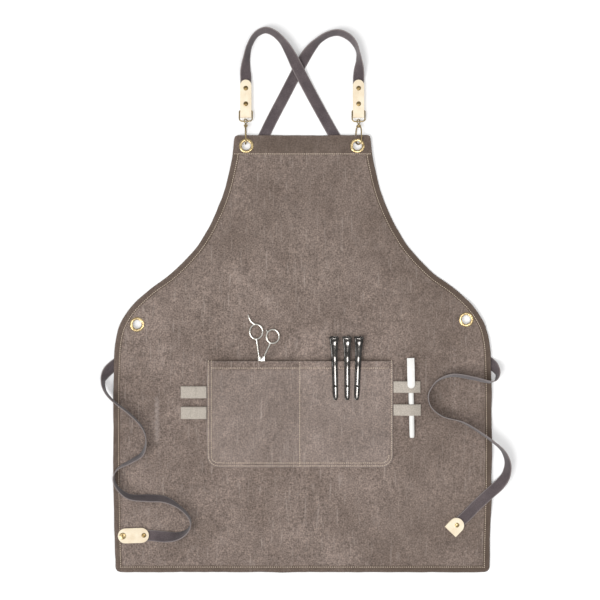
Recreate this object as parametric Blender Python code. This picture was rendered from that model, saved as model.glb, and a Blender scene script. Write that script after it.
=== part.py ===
"""A cross-back canvas apron lying flat on its back, with its tools in the pocket.

Metres, +Z up, lying on Z = 0, with +Y towards the neck. The origin is the bottom centre of the
apron with its top tabs and hooks. Lengths below are in millimetres times MM.
"""
import math

import bmesh
import bpy
from mathutils import Matrix, Vector

MM = 0.001
GAP = 0.3 * MM
# Cutters reach this high, above every piece.
CUT_HIGH = 20 * MM

# Cloth panel: half widths at heights up the apron, from the bib to the hem.
PANEL_LOW = 4.5 * MM
CLOTH = 1.2 * MM
PANEL_TOP = PANEL_LOW + CLOTH
BIB_Y = 345 * MM
HEM_Y = -444 * MM
SIDE_KNOTS = ((124, 335), (128.5, 299), (147.5, 227), (183.5, 155), (231, 101), (279, 65),
              (314, 29), (333, -7), (340, -61), (341.5, -250), (338, -425))
BIB_CORNER = 5 * MM
HEM_CORNER = 10 * MM

# Pocket: a tray sewn to the panel on three sides and down its middle.
POCKET_LEFT, POCKET_RIGHT = -172 * MM, 163 * MM
POCKET_MOUTH, POCKET_LOW = -62.3 * MM, -253.6 * MM
POCKET_DIVIDER = -5 * MM
POCKET_ROOM = 6 * MM
POCKET_CLOTH = 1.0 * MM
POCKET_SEAM = 5 * MM
POCKET_CORNER = 21 * MM
POCKET_BASE = PANEL_TOP + GAP
POCKET_FACE = PANEL_TOP + POCKET_ROOM

# Doubled elastic loops beside the pocket: outer end, sewn end, upper edge, lower edge.
LOOPS = {
    "loop_left_upper": (-219.5, -172.4, -107.6, -129.2),
    "loop_left_lower": (-219.5, -172.4, -144.5, -166.5),
    "loop_right_upper": (212.5, 163.4, -98.6, -119.2),
    "loop_right_lower": (213.4, 163.4, -140.0, -160.2),
}
LOOP_BAND = 1.2 * MM
LOOP_ROOM = 6.2 * MM

# Grommets.
GROMMET_HOLE, GROMMET_BARREL, GROMMET_RIM = 8.0 * MM, 8.7 * MM, 13.1 * MM
PANEL_HOLE = 9.1 * MM
WASHER_THICK = 0.8 * MM
GROMMETS = {
    "bib_left": (-101.2, 325.2),
    "bib_right": (98.8, 325.2),
    "hip_left": (-297.7, 3.6),
    "hip_right": (294.8, 12.2),
}

# Webbing straps, as (x, y, height that it rests on, lean of its width in degrees).
WEB_WIDTH, WEB_THICK = 20 * MM, 1.8 * MM
WEB_STEPS = 3
LOWEST_REST = 0.1
STRAP_LEFT = (
    (-102, 394, 3.1, 0), (-102, 418, 3.1, 0), (-102, 446, 3.1, 0), (-102.5, 462, 1.4, 28),
    (-100.5, 482, 0.2, 56), (-95.5, 504, 0.2, 68), (-84, 524, 0.2, 70), (-67, 532.5, 0.2, 68),
    (-51, 527, 0.2, 65), (-36, 513, 0.8, 58), (-22, 491, 2.6, 36), (-9, 466, 2.5, 8),
    (4, 441, 2.3, 0), (20, 411, 1.2, 0), (57, 345, 0.2, 0), (110, 258, 0.2, 0),
    (165, 165, 0.2, 0), (215, 82, 0.2, 0), (256, 13, 0.2, 0), (298, -33, 0.2, 0),
    (325, -57, 0.2, 0), (338, -66.2, 0.2, 3), (347.3, -77, 0.3, 47), (350.5, -88, 1.8, 80),
    (345.5, -97, 5.6, 94), (336, -99.5, 6.3, 102), (309, -93.5, 6.1, 107), (269, -87.5, 6.1, 106),
    (243, -96.5, 6.1, 100), (228.5, -114.5, 6.1, 96), (225.5, -128, 6.1, 94), (231, -145, 6.1, 92),
    (251, -161, 6.1, 90), (287, -171.5, 6.1, 84), (314, -187, 6.1, 82), (342, -207, 6.1, 82),
    (360, -224, 5.2, 78), (368.5, -245, 3.2, 66), (365.5, -267, 3.2, 48), (354, -284, 5.6, 22),
    (338, -299, 6.1, 4), (312, -323, 6.2, 0), (296, -339, 8.0, 0),
    (287, -347.5, 8.1, 0), (277, -357, 8.1, 0),
)
STRAP_RIGHT = (
    (101, 394, 3.1, 0), (101, 418, 3.1, 0), (101, 446, 3.1, 0), (101.5, 462, 1.4, -28),
    (101.5, 478, 0.2, -62), (99.5, 494, 0.2, -78), (94, 508, 0.2, -72), (82, 521, 0.2, -66),
    (64, 528, 0.2, -68), (45, 524, 0.2, -68), (28, 513, 0.2, -62), (12, 496, 0.2, -32),
    (-2, 474, 0.2, 0), (-17, 446, 0.2, 0), (-32, 417, 0.2, 0), (-60, 363, 0.2, 0),
    (-110, 258, 0.2, 0), (-165, 165, 0.2, 0), (-215, 82, 0.2, 0), (-262, 4, 0.2, 0),
    (-300, -36, 0.2, 0), (-334, -66, 0.2, 0), (-349.5, -79.5, 0.2, -26), (-358, -98, 0.8, -76),
    (-354, -116, 4.2, -88), (-341, -132, 6.2, -90), (-311, -156, 6.1, -90), (-287.5, -181, 6.1, -93),
    (-280.5, -205, 6.1, -98), (-287, -228, 6.1, -108), (-306, -241, 6.1, -106),
    (-331, -255, 6.1, -96), (-338.5, -270, 6.1, -92), (-333, -288, 6.1, -88),
    (-311, -305, 6.1, -72), (-276, -308, 6.1, -58), (-248, -310, 6.1, -64), (-222, -323, 6.1, -84),
    (-204, -341, 6.1, -89), (-200.5, -356, 6.1, -93), (-208, -368, 6.1, -103),
    (-224, -376, 6.1, -124), (-246, -378, 6.1, -158), (-268, -376.5, 6.1, -180),
    (-290, -375.5, 6.1, -180),
)

# Leather tabs folded round the hook rings.
LEATHER = 1.6 * MM
TAB_WIDTH = 20 * MM
TAB_ROOM = 3.0 * MM
TAB_LOW = 1.2 * MM
TAB_TOP_Y, TAB_FOLD_Y = 444 * MM, 375.7 * MM
TAB_X = {"left": -102 * MM, "right": 101 * MM}
TAB_RIVETS_Y = (428.5 * MM, 400.4 * MM)
POST, POST_HOLE = 1.6 * MM, 1.9 * MM
RIVET_HEAD = 4.2 * MM
RIVET_BACK = 3.6 * MM

# Snap tabs at the straps' tails.
TAIL_LENGTH, TAIL_WIDTH = 56 * MM, 27 * MM
TAIL_REST = PANEL_TOP + 0.4 * MM
TAIL_ROOM = 2.6 * MM
OPEN_TAB = (-304 * MM, -376 * MM)
OPEN_TAB_TURN = math.radians(92)
SNAP_REACH = 19 * MM
FOLDED_TAB = (265.2 * MM, -369.2 * MM)
FOLDED_TAB_TURN = math.radians(-44)
FOLDED_RIVET = 17.5 * MM
SNAP_HEAD = 6.0 * MM

# Rings, swivel eyes and snap hooks.
RING_WIRE, RING_WIDTH, RING_LENGTH = 1.2 * MM, 23 * MM, 19.8 * MM
RING_Y, RING_Z = 388.6 * MM, TAB_LOW + LEATHER + TAB_ROOM / 2
HOOK_WIRE, HOOK_REACH = 1.3 * MM, 6.5 * MM
HOOK_LENGTH = 34.6 * MM
HOOK_LOW = HOOK_WIRE + 0.1 * MM
EYE_RADIUS, EYE_WIRE = 3.8 * MM, 0.95 * MM
HOOK_ROLL = {"left": 0.0, "right": math.radians(48)}

# Scissors: the blade's plan and each finger ring's centre and radii are in millimetres.
PIVOT = Vector((-73.8, -71.6, 0)) * MM
SCISSOR_PLATE = 1.8 * MM
SCISSOR_LOW = PANEL_TOP + 0.4 * MM
SCISSOR_WIRE = 1.45 * MM
SCISSOR_SHANK_RADII = (1.5 * MM, 1.5 * MM, 1.3 * MM, 0.85 * MM)
BLADE_TIP_Y = -152
BLADE = ((-80, -54), (-75.5, -54), (-73, -60), (-67.5, -64), (-67.5, -76), (-69, -90),
         (-73.2, BLADE_TIP_Y), (-74.6, BLADE_TIP_Y), (-76.5, -90), (-80, -74))
LOWER_RING = ((-83.3, -9.5), (11.6, 13.2))
UPPER_RING = ((-53.5, -18), (11.4, 12.4))
# The little finger's rest above the lower ring, and the bumper beside the upper one.
FINGER_REST = ((-85.5, 3.4), (-92.5, 8.5), (-95.5, 14), (-98, 21))
BUMPER = ((-62.5, -10.5), (-65.5, -6))

# Sectioning clips: pivot place and turn in the plan.
CLIPS = {"clip_1": (57.4, -59, 1.4), "clip_2": (80.1, -59, 0.0), "clip_3": (99.9, -59, -2.3)}
CLIP_MIDDLE = POCKET_FACE + POCKET_CLOTH / 2
# Rows of one arm: distance up from the pivot, half width, inner face, outer face.
CLIP_ROWS = (
    (41, 7.6, 4.6, 5.6), (39, 8.3, 4.3, 6.0), (28, 7.0, 3.6, 5.4), (14, 6.0, 2.5, 4.4),
    (4, 5.7, 1.6, 3.6), (-4, 5.6, 1.5, 3.4), (-12, 5.3, 0.9, 2.9), (-40, 5.1, 0.8, 2.6),
    (-64, 4.8, 0.8, 2.5), (-70, 4.2, 0.8, 2.4), (-73, 2.4, 0.9, 2.2),
)
PIN_RADIUS = 1.0 * MM

# Pen: barrel rows as distance down from its top, half width and half height.
PEN_TOP = Vector((193.8, -57, 0)) * MM
PEN_TURN = math.radians(1.2)
PEN_ROWS = ((0, 3.4, 2.0), (2, 4.6, 2.7), (40, 4.7, 2.8), (120, 4.6, 2.8), (139, 4.4, 2.7), (143, 3.2, 1.8))
PEN_CENTRE = PANEL_TOP + GAP + LOOP_BAND + GAP + 2.8 * MM

COLOURS = {
    "canvas": (0.24, 0.19, 0.16, 0.9, 0.0),
    "webbing": (0.13, 0.11, 0.115, 0.8, 0.0),
    "elastic": (0.5, 0.46, 0.41, 0.85, 0.0),
    "leather": (0.9, 0.8, 0.6, 0.6, 0.0),
    "brass": (0.72, 0.55, 0.28, 0.3, 1.0),
    "steel": (0.72, 0.71, 0.66, 0.3, 1.0),
    "gunmetal": (0.06, 0.06, 0.065, 0.25, 0.8),
    "white_plastic": (0.9, 0.9, 0.88, 0.35, 0.0),
}


def clear_scene():
    for obj in list(bpy.data.objects):
        bpy.data.objects.remove(obj, do_unlink=True)


def make_material(name):
    """The Principled material of one finish, made once and shared."""
    if name in bpy.data.materials:
        return bpy.data.materials[name]
    red, green, blue, roughness, metallic = COLOURS[name]
    material = bpy.data.materials.new(name)
    material.use_nodes = True
    shader = material.node_tree.nodes["Principled BSDF"]
    shader.inputs["Base Color"].default_value = (red, green, blue, 1)
    shader.inputs["Roughness"].default_value = roughness
    shader.inputs["Metallic"].default_value = metallic
    return material


def make_object(name, bm, finish, parent=None, smooth=True):
    """The bmesh as a named object, with its faces turned outwards."""
    bmesh.ops.recalc_face_normals(bm, faces=bm.faces)
    mesh = bpy.data.meshes.new(name)
    bm.to_mesh(mesh)
    bm.free()
    obj = bpy.data.objects.new(name, mesh)
    bpy.context.collection.objects.link(obj)
    mesh.materials.append(make_material(finish))
    if smooth:
        mesh.shade_smooth()
        mesh.set_sharp_from_angle(angle=math.radians(40))
    if parent is not None:
        obj.parent = parent
    return obj


def make_empty(name, place, turn=(0, 0, 0), parent=None):
    """An empty on a joint's axis, which carries the pieces of one moving body."""
    empty = bpy.data.objects.new(name, None)
    bpy.context.collection.objects.link(empty)
    empty.location = place
    empty.rotation_euler = turn
    empty.parent = parent
    return empty


def combine(obj, other, operation):
    """A Boolean of obj with a helper that stays out of the model."""
    other.hide_render = True
    other.display_type = "WIRE"
    modifier = obj.modifiers.new(other.name, "BOOLEAN")
    modifier.operation = operation
    modifier.object = other


def prism(outline, low, high):
    """A plan outline of (x, y) points, raised from low to high."""
    bm = bmesh.new()
    face = bm.faces.new([bm.verts.new((x, y, low)) for x, y in outline])
    raised = bmesh.ops.extrude_face_region(bm, geom=[face])
    top = [item for item in raised["geom"] if isinstance(item, bmesh.types.BMVert)]
    bmesh.ops.translate(bm, verts=top, vec=(0, 0, high - low))
    return bm


def turned(profile, steps=20, axis="Z", place=(0, 0, 0)):
    """A closed (radius, height) profile, turned about an axis through place."""
    bm = bmesh.new()
    rings = []
    for radius, height in profile:
        if radius == 0:
            rings.append([bm.verts.new((0, 0, height))])
            continue
        angles = [2 * math.pi * step / steps for step in range(steps)]
        rings.append([bm.verts.new((radius * math.cos(a), radius * math.sin(a), height)) for a in angles])
    pairs = zip(rings, rings[1:] + rings[:1])
    for ring, following in pairs:
        for step in range(steps):
            after = (step + 1) % steps
            corners = [ring[step % len(ring)], ring[after % len(ring)]]
            corners += [following[after % len(following)], following[step % len(following)]]
            corners = list(dict.fromkeys(corners))
            if len(corners) > 2:
                bm.faces.new(corners)
    if axis == "X":
        bm.transform(Matrix.Rotation(math.pi / 2, 4, "Y"))
    if axis == "-Y":
        bm.transform(Matrix.Rotation(math.pi / 2, 4, "X"))
    bm.transform(Matrix.Translation(place))
    return bm


def disc(radius, low, high):
    return ((0, low), (radius, low), (radius, high), (0, high))


def join_rings(bm, rings, closed):
    """Skins a list of vertex rings, and caps both ends unless the sweep is closed."""
    following = rings[1:] + rings[:1] if closed else rings[1:]
    for ring, after in zip(rings, following):
        for index in range(len(ring)):
            beside = (index + 1) % len(ring)
            bm.faces.new((ring[index], ring[beside], after[beside], after[index]))
    if not closed:
        bm.faces.new(rings[0][::-1])
        bm.faces.new(rings[-1])


def wire(points, radii, normal, closed=False, sides=8):
    """A round wire along points that lie near the plane with this normal."""
    bm = bmesh.new()
    points = [Vector(point) for point in points]
    if not isinstance(radii, (list, tuple)):
        radii = [radii] * len(points)
    rings = []
    last = len(points) - 1
    for index, point in enumerate(points):
        before = points[index - 1] if closed or index else point
        after = points[(index + 1) % len(points)] if closed or index < last else point
        along = (after - before).normalized()
        side = along.cross(Vector(normal)).normalized()
        up = side.cross(along)
        ring = []
        for step in range(sides):
            angle = 2 * math.pi * step / sides
            ring.append(bm.verts.new(point + radii[index] * (math.cos(angle) * side + math.sin(angle) * up)))
        rings.append(ring)
    join_rings(bm, rings, closed)
    return bm


def arc(centre, radius, start, end, steps):
    """(x, y) points on an arc, its angles in degrees; radius may be an (x, y) pair."""
    wide, tall = radius if isinstance(radius, tuple) else (radius, radius)
    points = []
    for step in range(steps + 1):
        angle = math.radians(start + (end - start) * step / steps)
        points.append((centre[0] + wide * math.cos(angle), centre[1] + tall * math.sin(angle)))
    return points


def smooth_route(route, steps):
    """Points on one smooth curve through the route's own points, with `steps` to each stretch."""
    knots = [Vector(point) for point in route]
    times = [0.0]
    for before, after in zip(knots, knots[1:]):
        times.append(times[-1] + (after - before).length)
    slopes = []
    for index in range(len(knots)):
        low, high = max(index - 1, 0), min(index + 1, len(knots) - 1)
        slopes.append((knots[high] - knots[low]) / (times[high] - times[low]))
    points = []
    for index in range(len(knots) - 1):
        span = times[index + 1] - times[index]
        for step in range(steps):
            t = step / steps
            point = (2 * t**3 - 3 * t**2 + 1) * knots[index] + (3 * t**2 - 2 * t**3) * knots[index + 1]
            point += (t**3 - 2 * t**2 + t) * span * slopes[index]
            point += (t**3 - t**2) * span * slopes[index + 1]
            points.append(point)
    return points + [knots[-1]]


def ribbon(route):
    """Flat webbing along a route of (x, y, rest, lean), standing on its rest height."""
    bm = bmesh.new()
    plan = smooth_route([(x * MM, y * MM) for x, y, _, _ in route], WEB_STEPS)
    stance = smooth_route([(index, rest, lean) for index, (_, _, rest, lean) in enumerate(route)], WEB_STEPS)
    points, leans = [], []
    for place, (_, rest, lean) in zip(plan, stance):
        lean = math.radians(lean)
        lift = (WEB_WIDTH * abs(math.sin(lean)) + WEB_THICK * abs(math.cos(lean))) / 2
        points.append(Vector((place.x, place.y, max(rest, LOWEST_REST) * MM + lift)))
        leans.append(lean)
    rings = []
    last = len(points) - 1
    for index, point in enumerate(points):
        along = points[min(index + 1, last)] - points[max(index - 1, 0)]
        along.z = 0
        left = Vector((-along.y, along.x, 0)).normalized()
        across = math.cos(leans[index]) * left + math.sin(leans[index]) * Vector((0, 0, 1))
        face = math.cos(leans[index]) * Vector((0, 0, 1)) - math.sin(leans[index]) * left
        half, thin = WEB_WIDTH / 2 * across, WEB_THICK / 2 * face
        corners = (half + thin, thin - half, -half - thin, half - thin)
        rings.append([bm.verts.new(point + corner) for corner in corners])
    join_rings(bm, rings, closed=False)
    return bm


def panel_outline():
    """The apron's plan: straight bib and hem, and one smooth line down each side."""
    side = smooth_route([(x * MM, y * MM) for x, y in SIDE_KNOTS], 4)
    side = [(point.x, point.y) for point in side]
    top = arc((side[0][0] - BIB_CORNER - 1 * MM, BIB_Y - BIB_CORNER), BIB_CORNER, 90, 10, 3)
    low = arc((side[-1][0] - HEM_CORNER, HEM_Y + HEM_CORNER), HEM_CORNER, 0, -90, 3)
    right = top + side + low
    return right + [(-x, y) for x, y in reversed(right)]


def round_cutter(name, place, radius, low, high, axis="Z", parent=None):
    cutter = make_object(name, turned(disc(radius, low, high), 16, axis, place), "steel", parent)
    cutter.hide_render = True
    cutter.display_type = "WIRE"
    return cutter


def make_panel():
    panel = make_object("body_panel", prism(panel_outline(), PANEL_LOW, PANEL_TOP), "canvas", smooth=False)
    for name, (x, y) in GROMMETS.items():
        hole = make_object("hole_" + name, turned(disc(PANEL_HOLE, 0, PANEL_TOP + CLOTH), 24,
                                                  place=(x * MM, y * MM, 0)), "canvas")
        combine(panel, hole, "DIFFERENCE")


def pocket_outline(left, right, low, high, corner):
    points = [(left, high)] + arc((left + corner, low + corner), corner, 180, 270, 5)
    return points + arc((right - corner, low + corner), corner, 270, 360, 5) + [(right, high)]


def make_pocket():
    """The pocket's front with its seams, hollowed out as two compartments open at the mouth."""
    outline = pocket_outline(POCKET_LEFT, POCKET_RIGHT, POCKET_LOW, POCKET_MOUTH, POCKET_CORNER)
    pocket = make_object("pocket", prism(outline, POCKET_BASE, POCKET_FACE + POCKET_CLOTH), "canvas",
                         smooth=False)
    low = POCKET_LOW + POCKET_SEAM
    corner = POCKET_CORNER - POCKET_SEAM
    sides = {"pocket_room_left": (POCKET_LEFT + POCKET_SEAM, POCKET_DIVIDER - 2 * MM),
             "pocket_room_right": (POCKET_DIVIDER + 2 * MM, POCKET_RIGHT - POCKET_SEAM)}
    for name, (left, right) in sides.items():
        outline = pocket_outline(left, right, low, POCKET_MOUTH + 5 * MM, corner)
        room = make_object(name, prism(outline, PANEL_LOW, POCKET_FACE), "canvas")
        combine(pocket, room, "DIFFERENCE")


def rounded_section(left, right, low, high, corner):
    """A closed (x, z) section with round corners."""
    points = arc((right - corner, high - corner), corner, 0, 90, 3)
    points += arc((left + corner, high - corner), corner, 90, 180, 3)
    points += arc((left + corner, low + corner), corner, 180, 270, 3)
    return points + arc((right - corner, low + corner), corner, 270, 360, 3)


def make_loop(name, outer, sewn, top, bottom):
    """An elastic band doubled back on itself: a flat tube open towards the neck and the hem."""
    left, right = sorted((outer * MM, sewn * MM))
    low = PANEL_TOP + GAP
    high = low + LOOP_ROOM + 2 * LOOP_BAND
    bm = bmesh.new()
    ends = []
    for y in (bottom * MM, top * MM):
        skins = []
        for inset in (0, LOOP_BAND):
            section = rounded_section(left + inset, right - inset, low + inset, high - inset, 3 * MM - inset)
            skins.append([bm.verts.new((x, y, z)) for x, z in section])
        ends.append(skins)
    count = len(ends[0][0])
    for index in range(count):
        after = (index + 1) % count
        for outer_ring, inner_ring in ends:
            bm.faces.new((outer_ring[index], outer_ring[after], inner_ring[after], inner_ring[index]))
        for skin in (0, 1):
            near, far = ends[0][skin], ends[1][skin]
            bm.faces.new((near[index], near[after], far[after], far[index]))
    make_object(name, bm, "elastic")


def make_grommet(name, x, y):
    """An eyelet pressed through the panel, and the flat washer behind it."""
    seat = PANEL_TOP + GAP
    low = HOOK_LOW + HOOK_WIRE + GAP
    profile = ((GROMMET_HOLE, low), (GROMMET_BARREL, low), (GROMMET_BARREL, seat), (GROMMET_RIM, seat),
               (GROMMET_RIM, seat + 0.5 * MM), (11 * MM, seat + 1.2 * MM), (9 * MM, seat + 1.2 * MM),
               (GROMMET_HOLE, seat + 0.6 * MM))
    place = (x * MM, y * MM, 0)
    make_object("eyelet_" + name, turned(profile, 20, place=place), "brass")
    top = PANEL_LOW - GAP
    bore = GROMMET_BARREL + GAP
    washer = ((bore, top - WASHER_THICK), (GROMMET_RIM, top - WASHER_THICK), (GROMMET_RIM, top), (bore, top))
    make_object("washer_" + name, turned(washer, 20, place=place), "brass")


def make_rivet(name, place, low, high, head, back):
    """A rivet from its back cap at low, through the layers, to a domed head above high."""
    profile = ((0, low), (back, low), (back, low + 0.7 * MM), (POST, low + 0.7 * MM), (POST, high),
               (head, high), (head, high + 0.5 * MM), (head * 0.7, high + 1.2 * MM), (0, high + 1.4 * MM))
    make_object(name, turned(profile, 14, place=(place[0], place[1], 0)), "brass")


def folded_strip(far, fold, low, room, width):
    """A leather strip folded in half: its two layers run from y = far to the fold."""
    middle = low + LEATHER + room / 2
    outer, inner = LEATHER + room / 2, room / 2
    points = [(far, middle + outer)] + arc((fold + outer, middle), outer, 90, 270, 8)
    points += [(far, middle - outer)]
    points += [(far, middle - inner)] + arc((fold + outer, middle), inner, 270, 90, 8)
    points += [(far, middle + inner)]
    bm = bmesh.new()
    rings = []
    for x in (-width / 2, width / 2):
        rings.append([bm.verts.new((x, y, z)) for y, z in points])
    join_rings(bm, rings, closed=False)
    return bm


def stadium(low, high, width, round_low, round_high):
    """A plan outline with round or square ends, along Y."""
    half = width / 2
    points = arc((0, high - half), half, 0, 180, 10) if round_high else [(half, high), (-half, high)]
    return points + (arc((0, low + half), half, 180, 360, 10) if round_low else [(-half, low), (half, low)])


def make_top_tab(side, strap):
    """A leather tab round the ring, holding the strap's end with two rivets."""
    x = TAB_X[side]
    high = TAB_LOW + 2 * LEATHER + TAB_ROOM
    strip = folded_strip(TAB_TOP_Y + 5 * MM, TAB_FOLD_Y, TAB_LOW, TAB_ROOM, TAB_WIDTH)
    tab = make_object("tab_" + side, strip, "leather")
    tab.location.x = x
    outline = stadium(TAB_FOLD_Y - 2 * MM, TAB_TOP_Y, TAB_WIDTH + 0.1 * MM, False, True)
    rounding = make_object("tab_shape_" + side, prism(outline, 0, CUT_HIGH), "leather")
    rounding.location.x = x
    combine(tab, rounding, "INTERSECT")
    for number, y in enumerate(TAB_RIVETS_Y, start=1):
        name = f"{side}_{number}"
        hole = round_cutter("tab_hole_" + name, (x, y, 0), POST_HOLE, 0, CUT_HIGH)
        combine(tab, hole, "DIFFERENCE")
        combine(strap, hole, "DIFFERENCE")
        make_rivet("tab_rivet_" + name, (x, y), 0.2 * MM, high + GAP, RIVET_HEAD, RIVET_BACK)


def turned_place(place, turn, distance):
    """The point at this distance along local +Y from a piece's place, in the plan."""
    return (place[0] - distance * math.sin(turn), place[1] + distance * math.cos(turn))


def make_open_tail_tab(strap):
    """The left tail's snap tab, lying open: a rivet holds the strap, a snap stud ends it."""
    low = TAIL_REST + WEB_THICK + 2 * GAP
    outline = stadium(-TAIL_LENGTH / 2, TAIL_LENGTH / 2, TAIL_WIDTH, True, True)
    tab = make_object("tail_tab_left", prism(outline, low, low + LEATHER), "leather")
    tab.location = (*OPEN_TAB, 0)
    tab.rotation_euler.z = OPEN_TAB_TURN
    riveted = turned_place(OPEN_TAB, OPEN_TAB_TURN, -SNAP_REACH)
    studded = turned_place(OPEN_TAB, OPEN_TAB_TURN, SNAP_REACH)
    for name, place in (("rivet", riveted), ("stud", studded)):
        hole = round_cutter("tail_hole_left_" + name, (*place, 0), POST_HOLE, 0, CUT_HIGH)
        combine(tab, hole, "DIFFERENCE")
        if name == "rivet":
            combine(strap, hole, "DIFFERENCE")
    top = low + LEATHER + GAP
    make_rivet("tail_rivet_left", riveted, TAIL_REST, top, RIVET_HEAD, POST)
    make_rivet("tail_stud_left", studded, TAIL_REST, top, SNAP_HEAD, RIVET_BACK)


def make_folded_tail_tab(strap):
    """The right tail's snap tab, folded shut round the strap's end."""
    half = TAIL_LENGTH / 2
    strip = folded_strip(half + 5 * MM, 0, TAIL_REST, TAIL_ROOM, TAIL_WIDTH)
    tab = make_object("tail_tab_right", strip, "leather")
    outline = stadium(-2 * MM, half + 2 * MM, TAIL_WIDTH + 0.1 * MM, False, True)
    rounding = make_object("tail_shape_right", prism(outline, 0, CUT_HIGH), "leather")
    for piece in (tab, rounding):
        piece.location = (*FOLDED_TAB, 0)
        piece.rotation_euler.z = FOLDED_TAB_TURN
    combine(tab, rounding, "INTERSECT")
    place = turned_place(FOLDED_TAB, FOLDED_TAB_TURN, FOLDED_RIVET)
    hole = round_cutter("tail_hole_right", (*place, 0), POST_HOLE, 0, CUT_HIGH)
    combine(tab, hole, "DIFFERENCE")
    combine(strap, hole, "DIFFERENCE")
    top = TAIL_REST + 2 * LEATHER + TAIL_ROOM + GAP
    make_rivet("tail_rivet_right", place, TAIL_REST + 1.0 * MM, top, RIVET_HEAD, POST)


def hook_wire_path():
    """The hook's wire from its collar, round the bend and up the nose, as (0, -along, across)."""
    leg = [(3.4, 7.4), (4.5, 10.2), (5.8, 13.2), (6.5, 17.0), (6.5, 25.0)]
    path = [(0, -along * MM, across * MM) for across, along in leg]
    for across, down in arc((0, 0), HOOK_REACH, 0, -180, 10):
        path.append((0, -HOOK_LENGTH + down, across))
    path.append((0, -22 * MM, -HOOK_REACH))
    return path


def make_hook(side):
    """Ring, swivel eye, hook body and gate, each carried by an empty on its own axis."""
    roll = HOOK_ROLL[side]
    axis_z = HOOK_LOW + HOOK_REACH * math.cos(roll)
    tilt = math.asin((axis_z - RING_Z) / RING_LENGTH)
    x = TAB_X[side]
    swing = make_empty("ring_axis_" + side, (x, RING_Y, RING_Z), (-tilt, 0, 0))
    half, long = RING_WIDTH / 2, RING_LENGTH
    outline = arc((half - 2.5 * MM, -2.5 * MM), 2.5 * MM, 0, 90, 3)
    outline += arc((-half + 2.5 * MM, -2.5 * MM), 2.5 * MM, 90, 180, 3)
    outline += arc((-half + 5 * MM, 5 * MM - long), 5 * MM, 180, 270, 4)
    outline += arc((half - 5 * MM, 5 * MM - long), 5 * MM, 270, 360, 4)
    make_object("ring_" + side, wire([(px, py, 0) for px, py in outline], RING_WIRE, (0, 0, 1), True),
                "brass", swing)
    eye_y = RING_Y - RING_LENGTH * math.cos(tilt)
    eye_axis = make_empty("eye_axis_" + side, (x, eye_y, axis_z))
    circle = [(px, py, 0) for px, py in arc((0, 0), EYE_RADIUS, 0, 342, 19)]
    eye = make_object("eye_loop_" + side, wire(circle, EYE_WIRE, (0, 0, 1), True), "brass", eye_axis)
    eye.rotation_euler.y = math.radians(45)
    stem = ((0, 3.8), (1.5, 3.8), (1.5, 9.9), (2.6, 9.9), (2.6, 11.2), (0, 11.2))
    profile = tuple((radius * MM, along * MM) for radius, along in stem)
    shank = make_object("swivel_eye_" + side, turned(profile, 14, "-Y"), "brass", eye_axis)
    combine(shank, eye, "UNION")
    hook_axis = make_empty("hook_axis_" + side, (x, eye_y, axis_z), (0, roll, 0))
    collar = ((1.9, 6.2), (3.2, 6.2), (3.5, 6.8), (3.5, 9.0), (3.2, 9.6), (1.9, 9.6))
    profile = tuple((radius * MM, along * MM) for radius, along in collar)
    hook = make_object("hook_body_" + side, turned(profile, 16, "-Y"), "brass", hook_axis)
    leg = make_object("hook_leg_" + side, wire(hook_wire_path(), HOOK_WIRE, (1, 0, 0)), "brass", hook_axis)
    combine(hook, leg, "UNION")
    lug_plan = ((-1.6 * MM, -8.9 * MM), (1.6 * MM, -8.9 * MM), (1.6 * MM, -6.8 * MM), (-1.6 * MM, -6.8 * MM))
    lug = make_object("gate_lug_" + side, prism(lug_plan, -6 * MM, -2.6 * MM), "brass", hook_axis)
    combine(hook, lug, "UNION")
    gate_points = ((0, -10.4, -4.7), (0, -14.0, -5.3), (0, -18.0, -6.1), (0, -21.3, -6.5))
    gate = wire([Vector(point) * MM for point in gate_points], 1.15 * MM, (1, 0, 0))
    pivot = Vector((0, -10.4, -4.7)) * MM
    gate.transform(Matrix.Translation(-pivot))
    make_object("gate_" + side, gate, "brass", hook_axis).location = pivot


def scissor_half(name, low, blade, finger_ring, ring_height, shank, rest):
    """One half of the scissors: a wire finger ring, its shank and a short rest on a flat blade."""
    plate = make_object(name, prism([(x * MM, y * MM) for x, y in blade], low, low + SCISSOR_PLATE), "steel")
    centre, radii = finger_ring
    ring_points = [(x * MM, y * MM, ring_height) for x, y in arc(centre, radii, 0, 345, 23)]
    shank_points = [(x * MM, y * MM, z) for x, y, z in shank]
    rest_points = [(x * MM, y * MM, ring_height) for x, y in rest]
    rest_radii = [1.4 * MM] * (len(rest) - 1) + [0.9 * MM]
    up = (0, 0, 1)
    ring = make_object(name + "_ring", wire(ring_points, SCISSOR_WIRE, up, True), "steel")
    stem = make_object(name + "_shank", wire(shank_points, SCISSOR_SHANK_RADII, up), "steel")
    stub = make_object(name + "_rest", wire(rest_points, rest_radii, up), "steel")
    for piece in (ring, stem, stub):
        combine(plate, piece, "UNION")
    hole = round_cutter(name + "_bore", (PIVOT.x, PIVOT.y, 0), POST_HOLE, 0, CUT_HIGH)
    combine(plate, hole, "DIFFERENCE")


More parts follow.
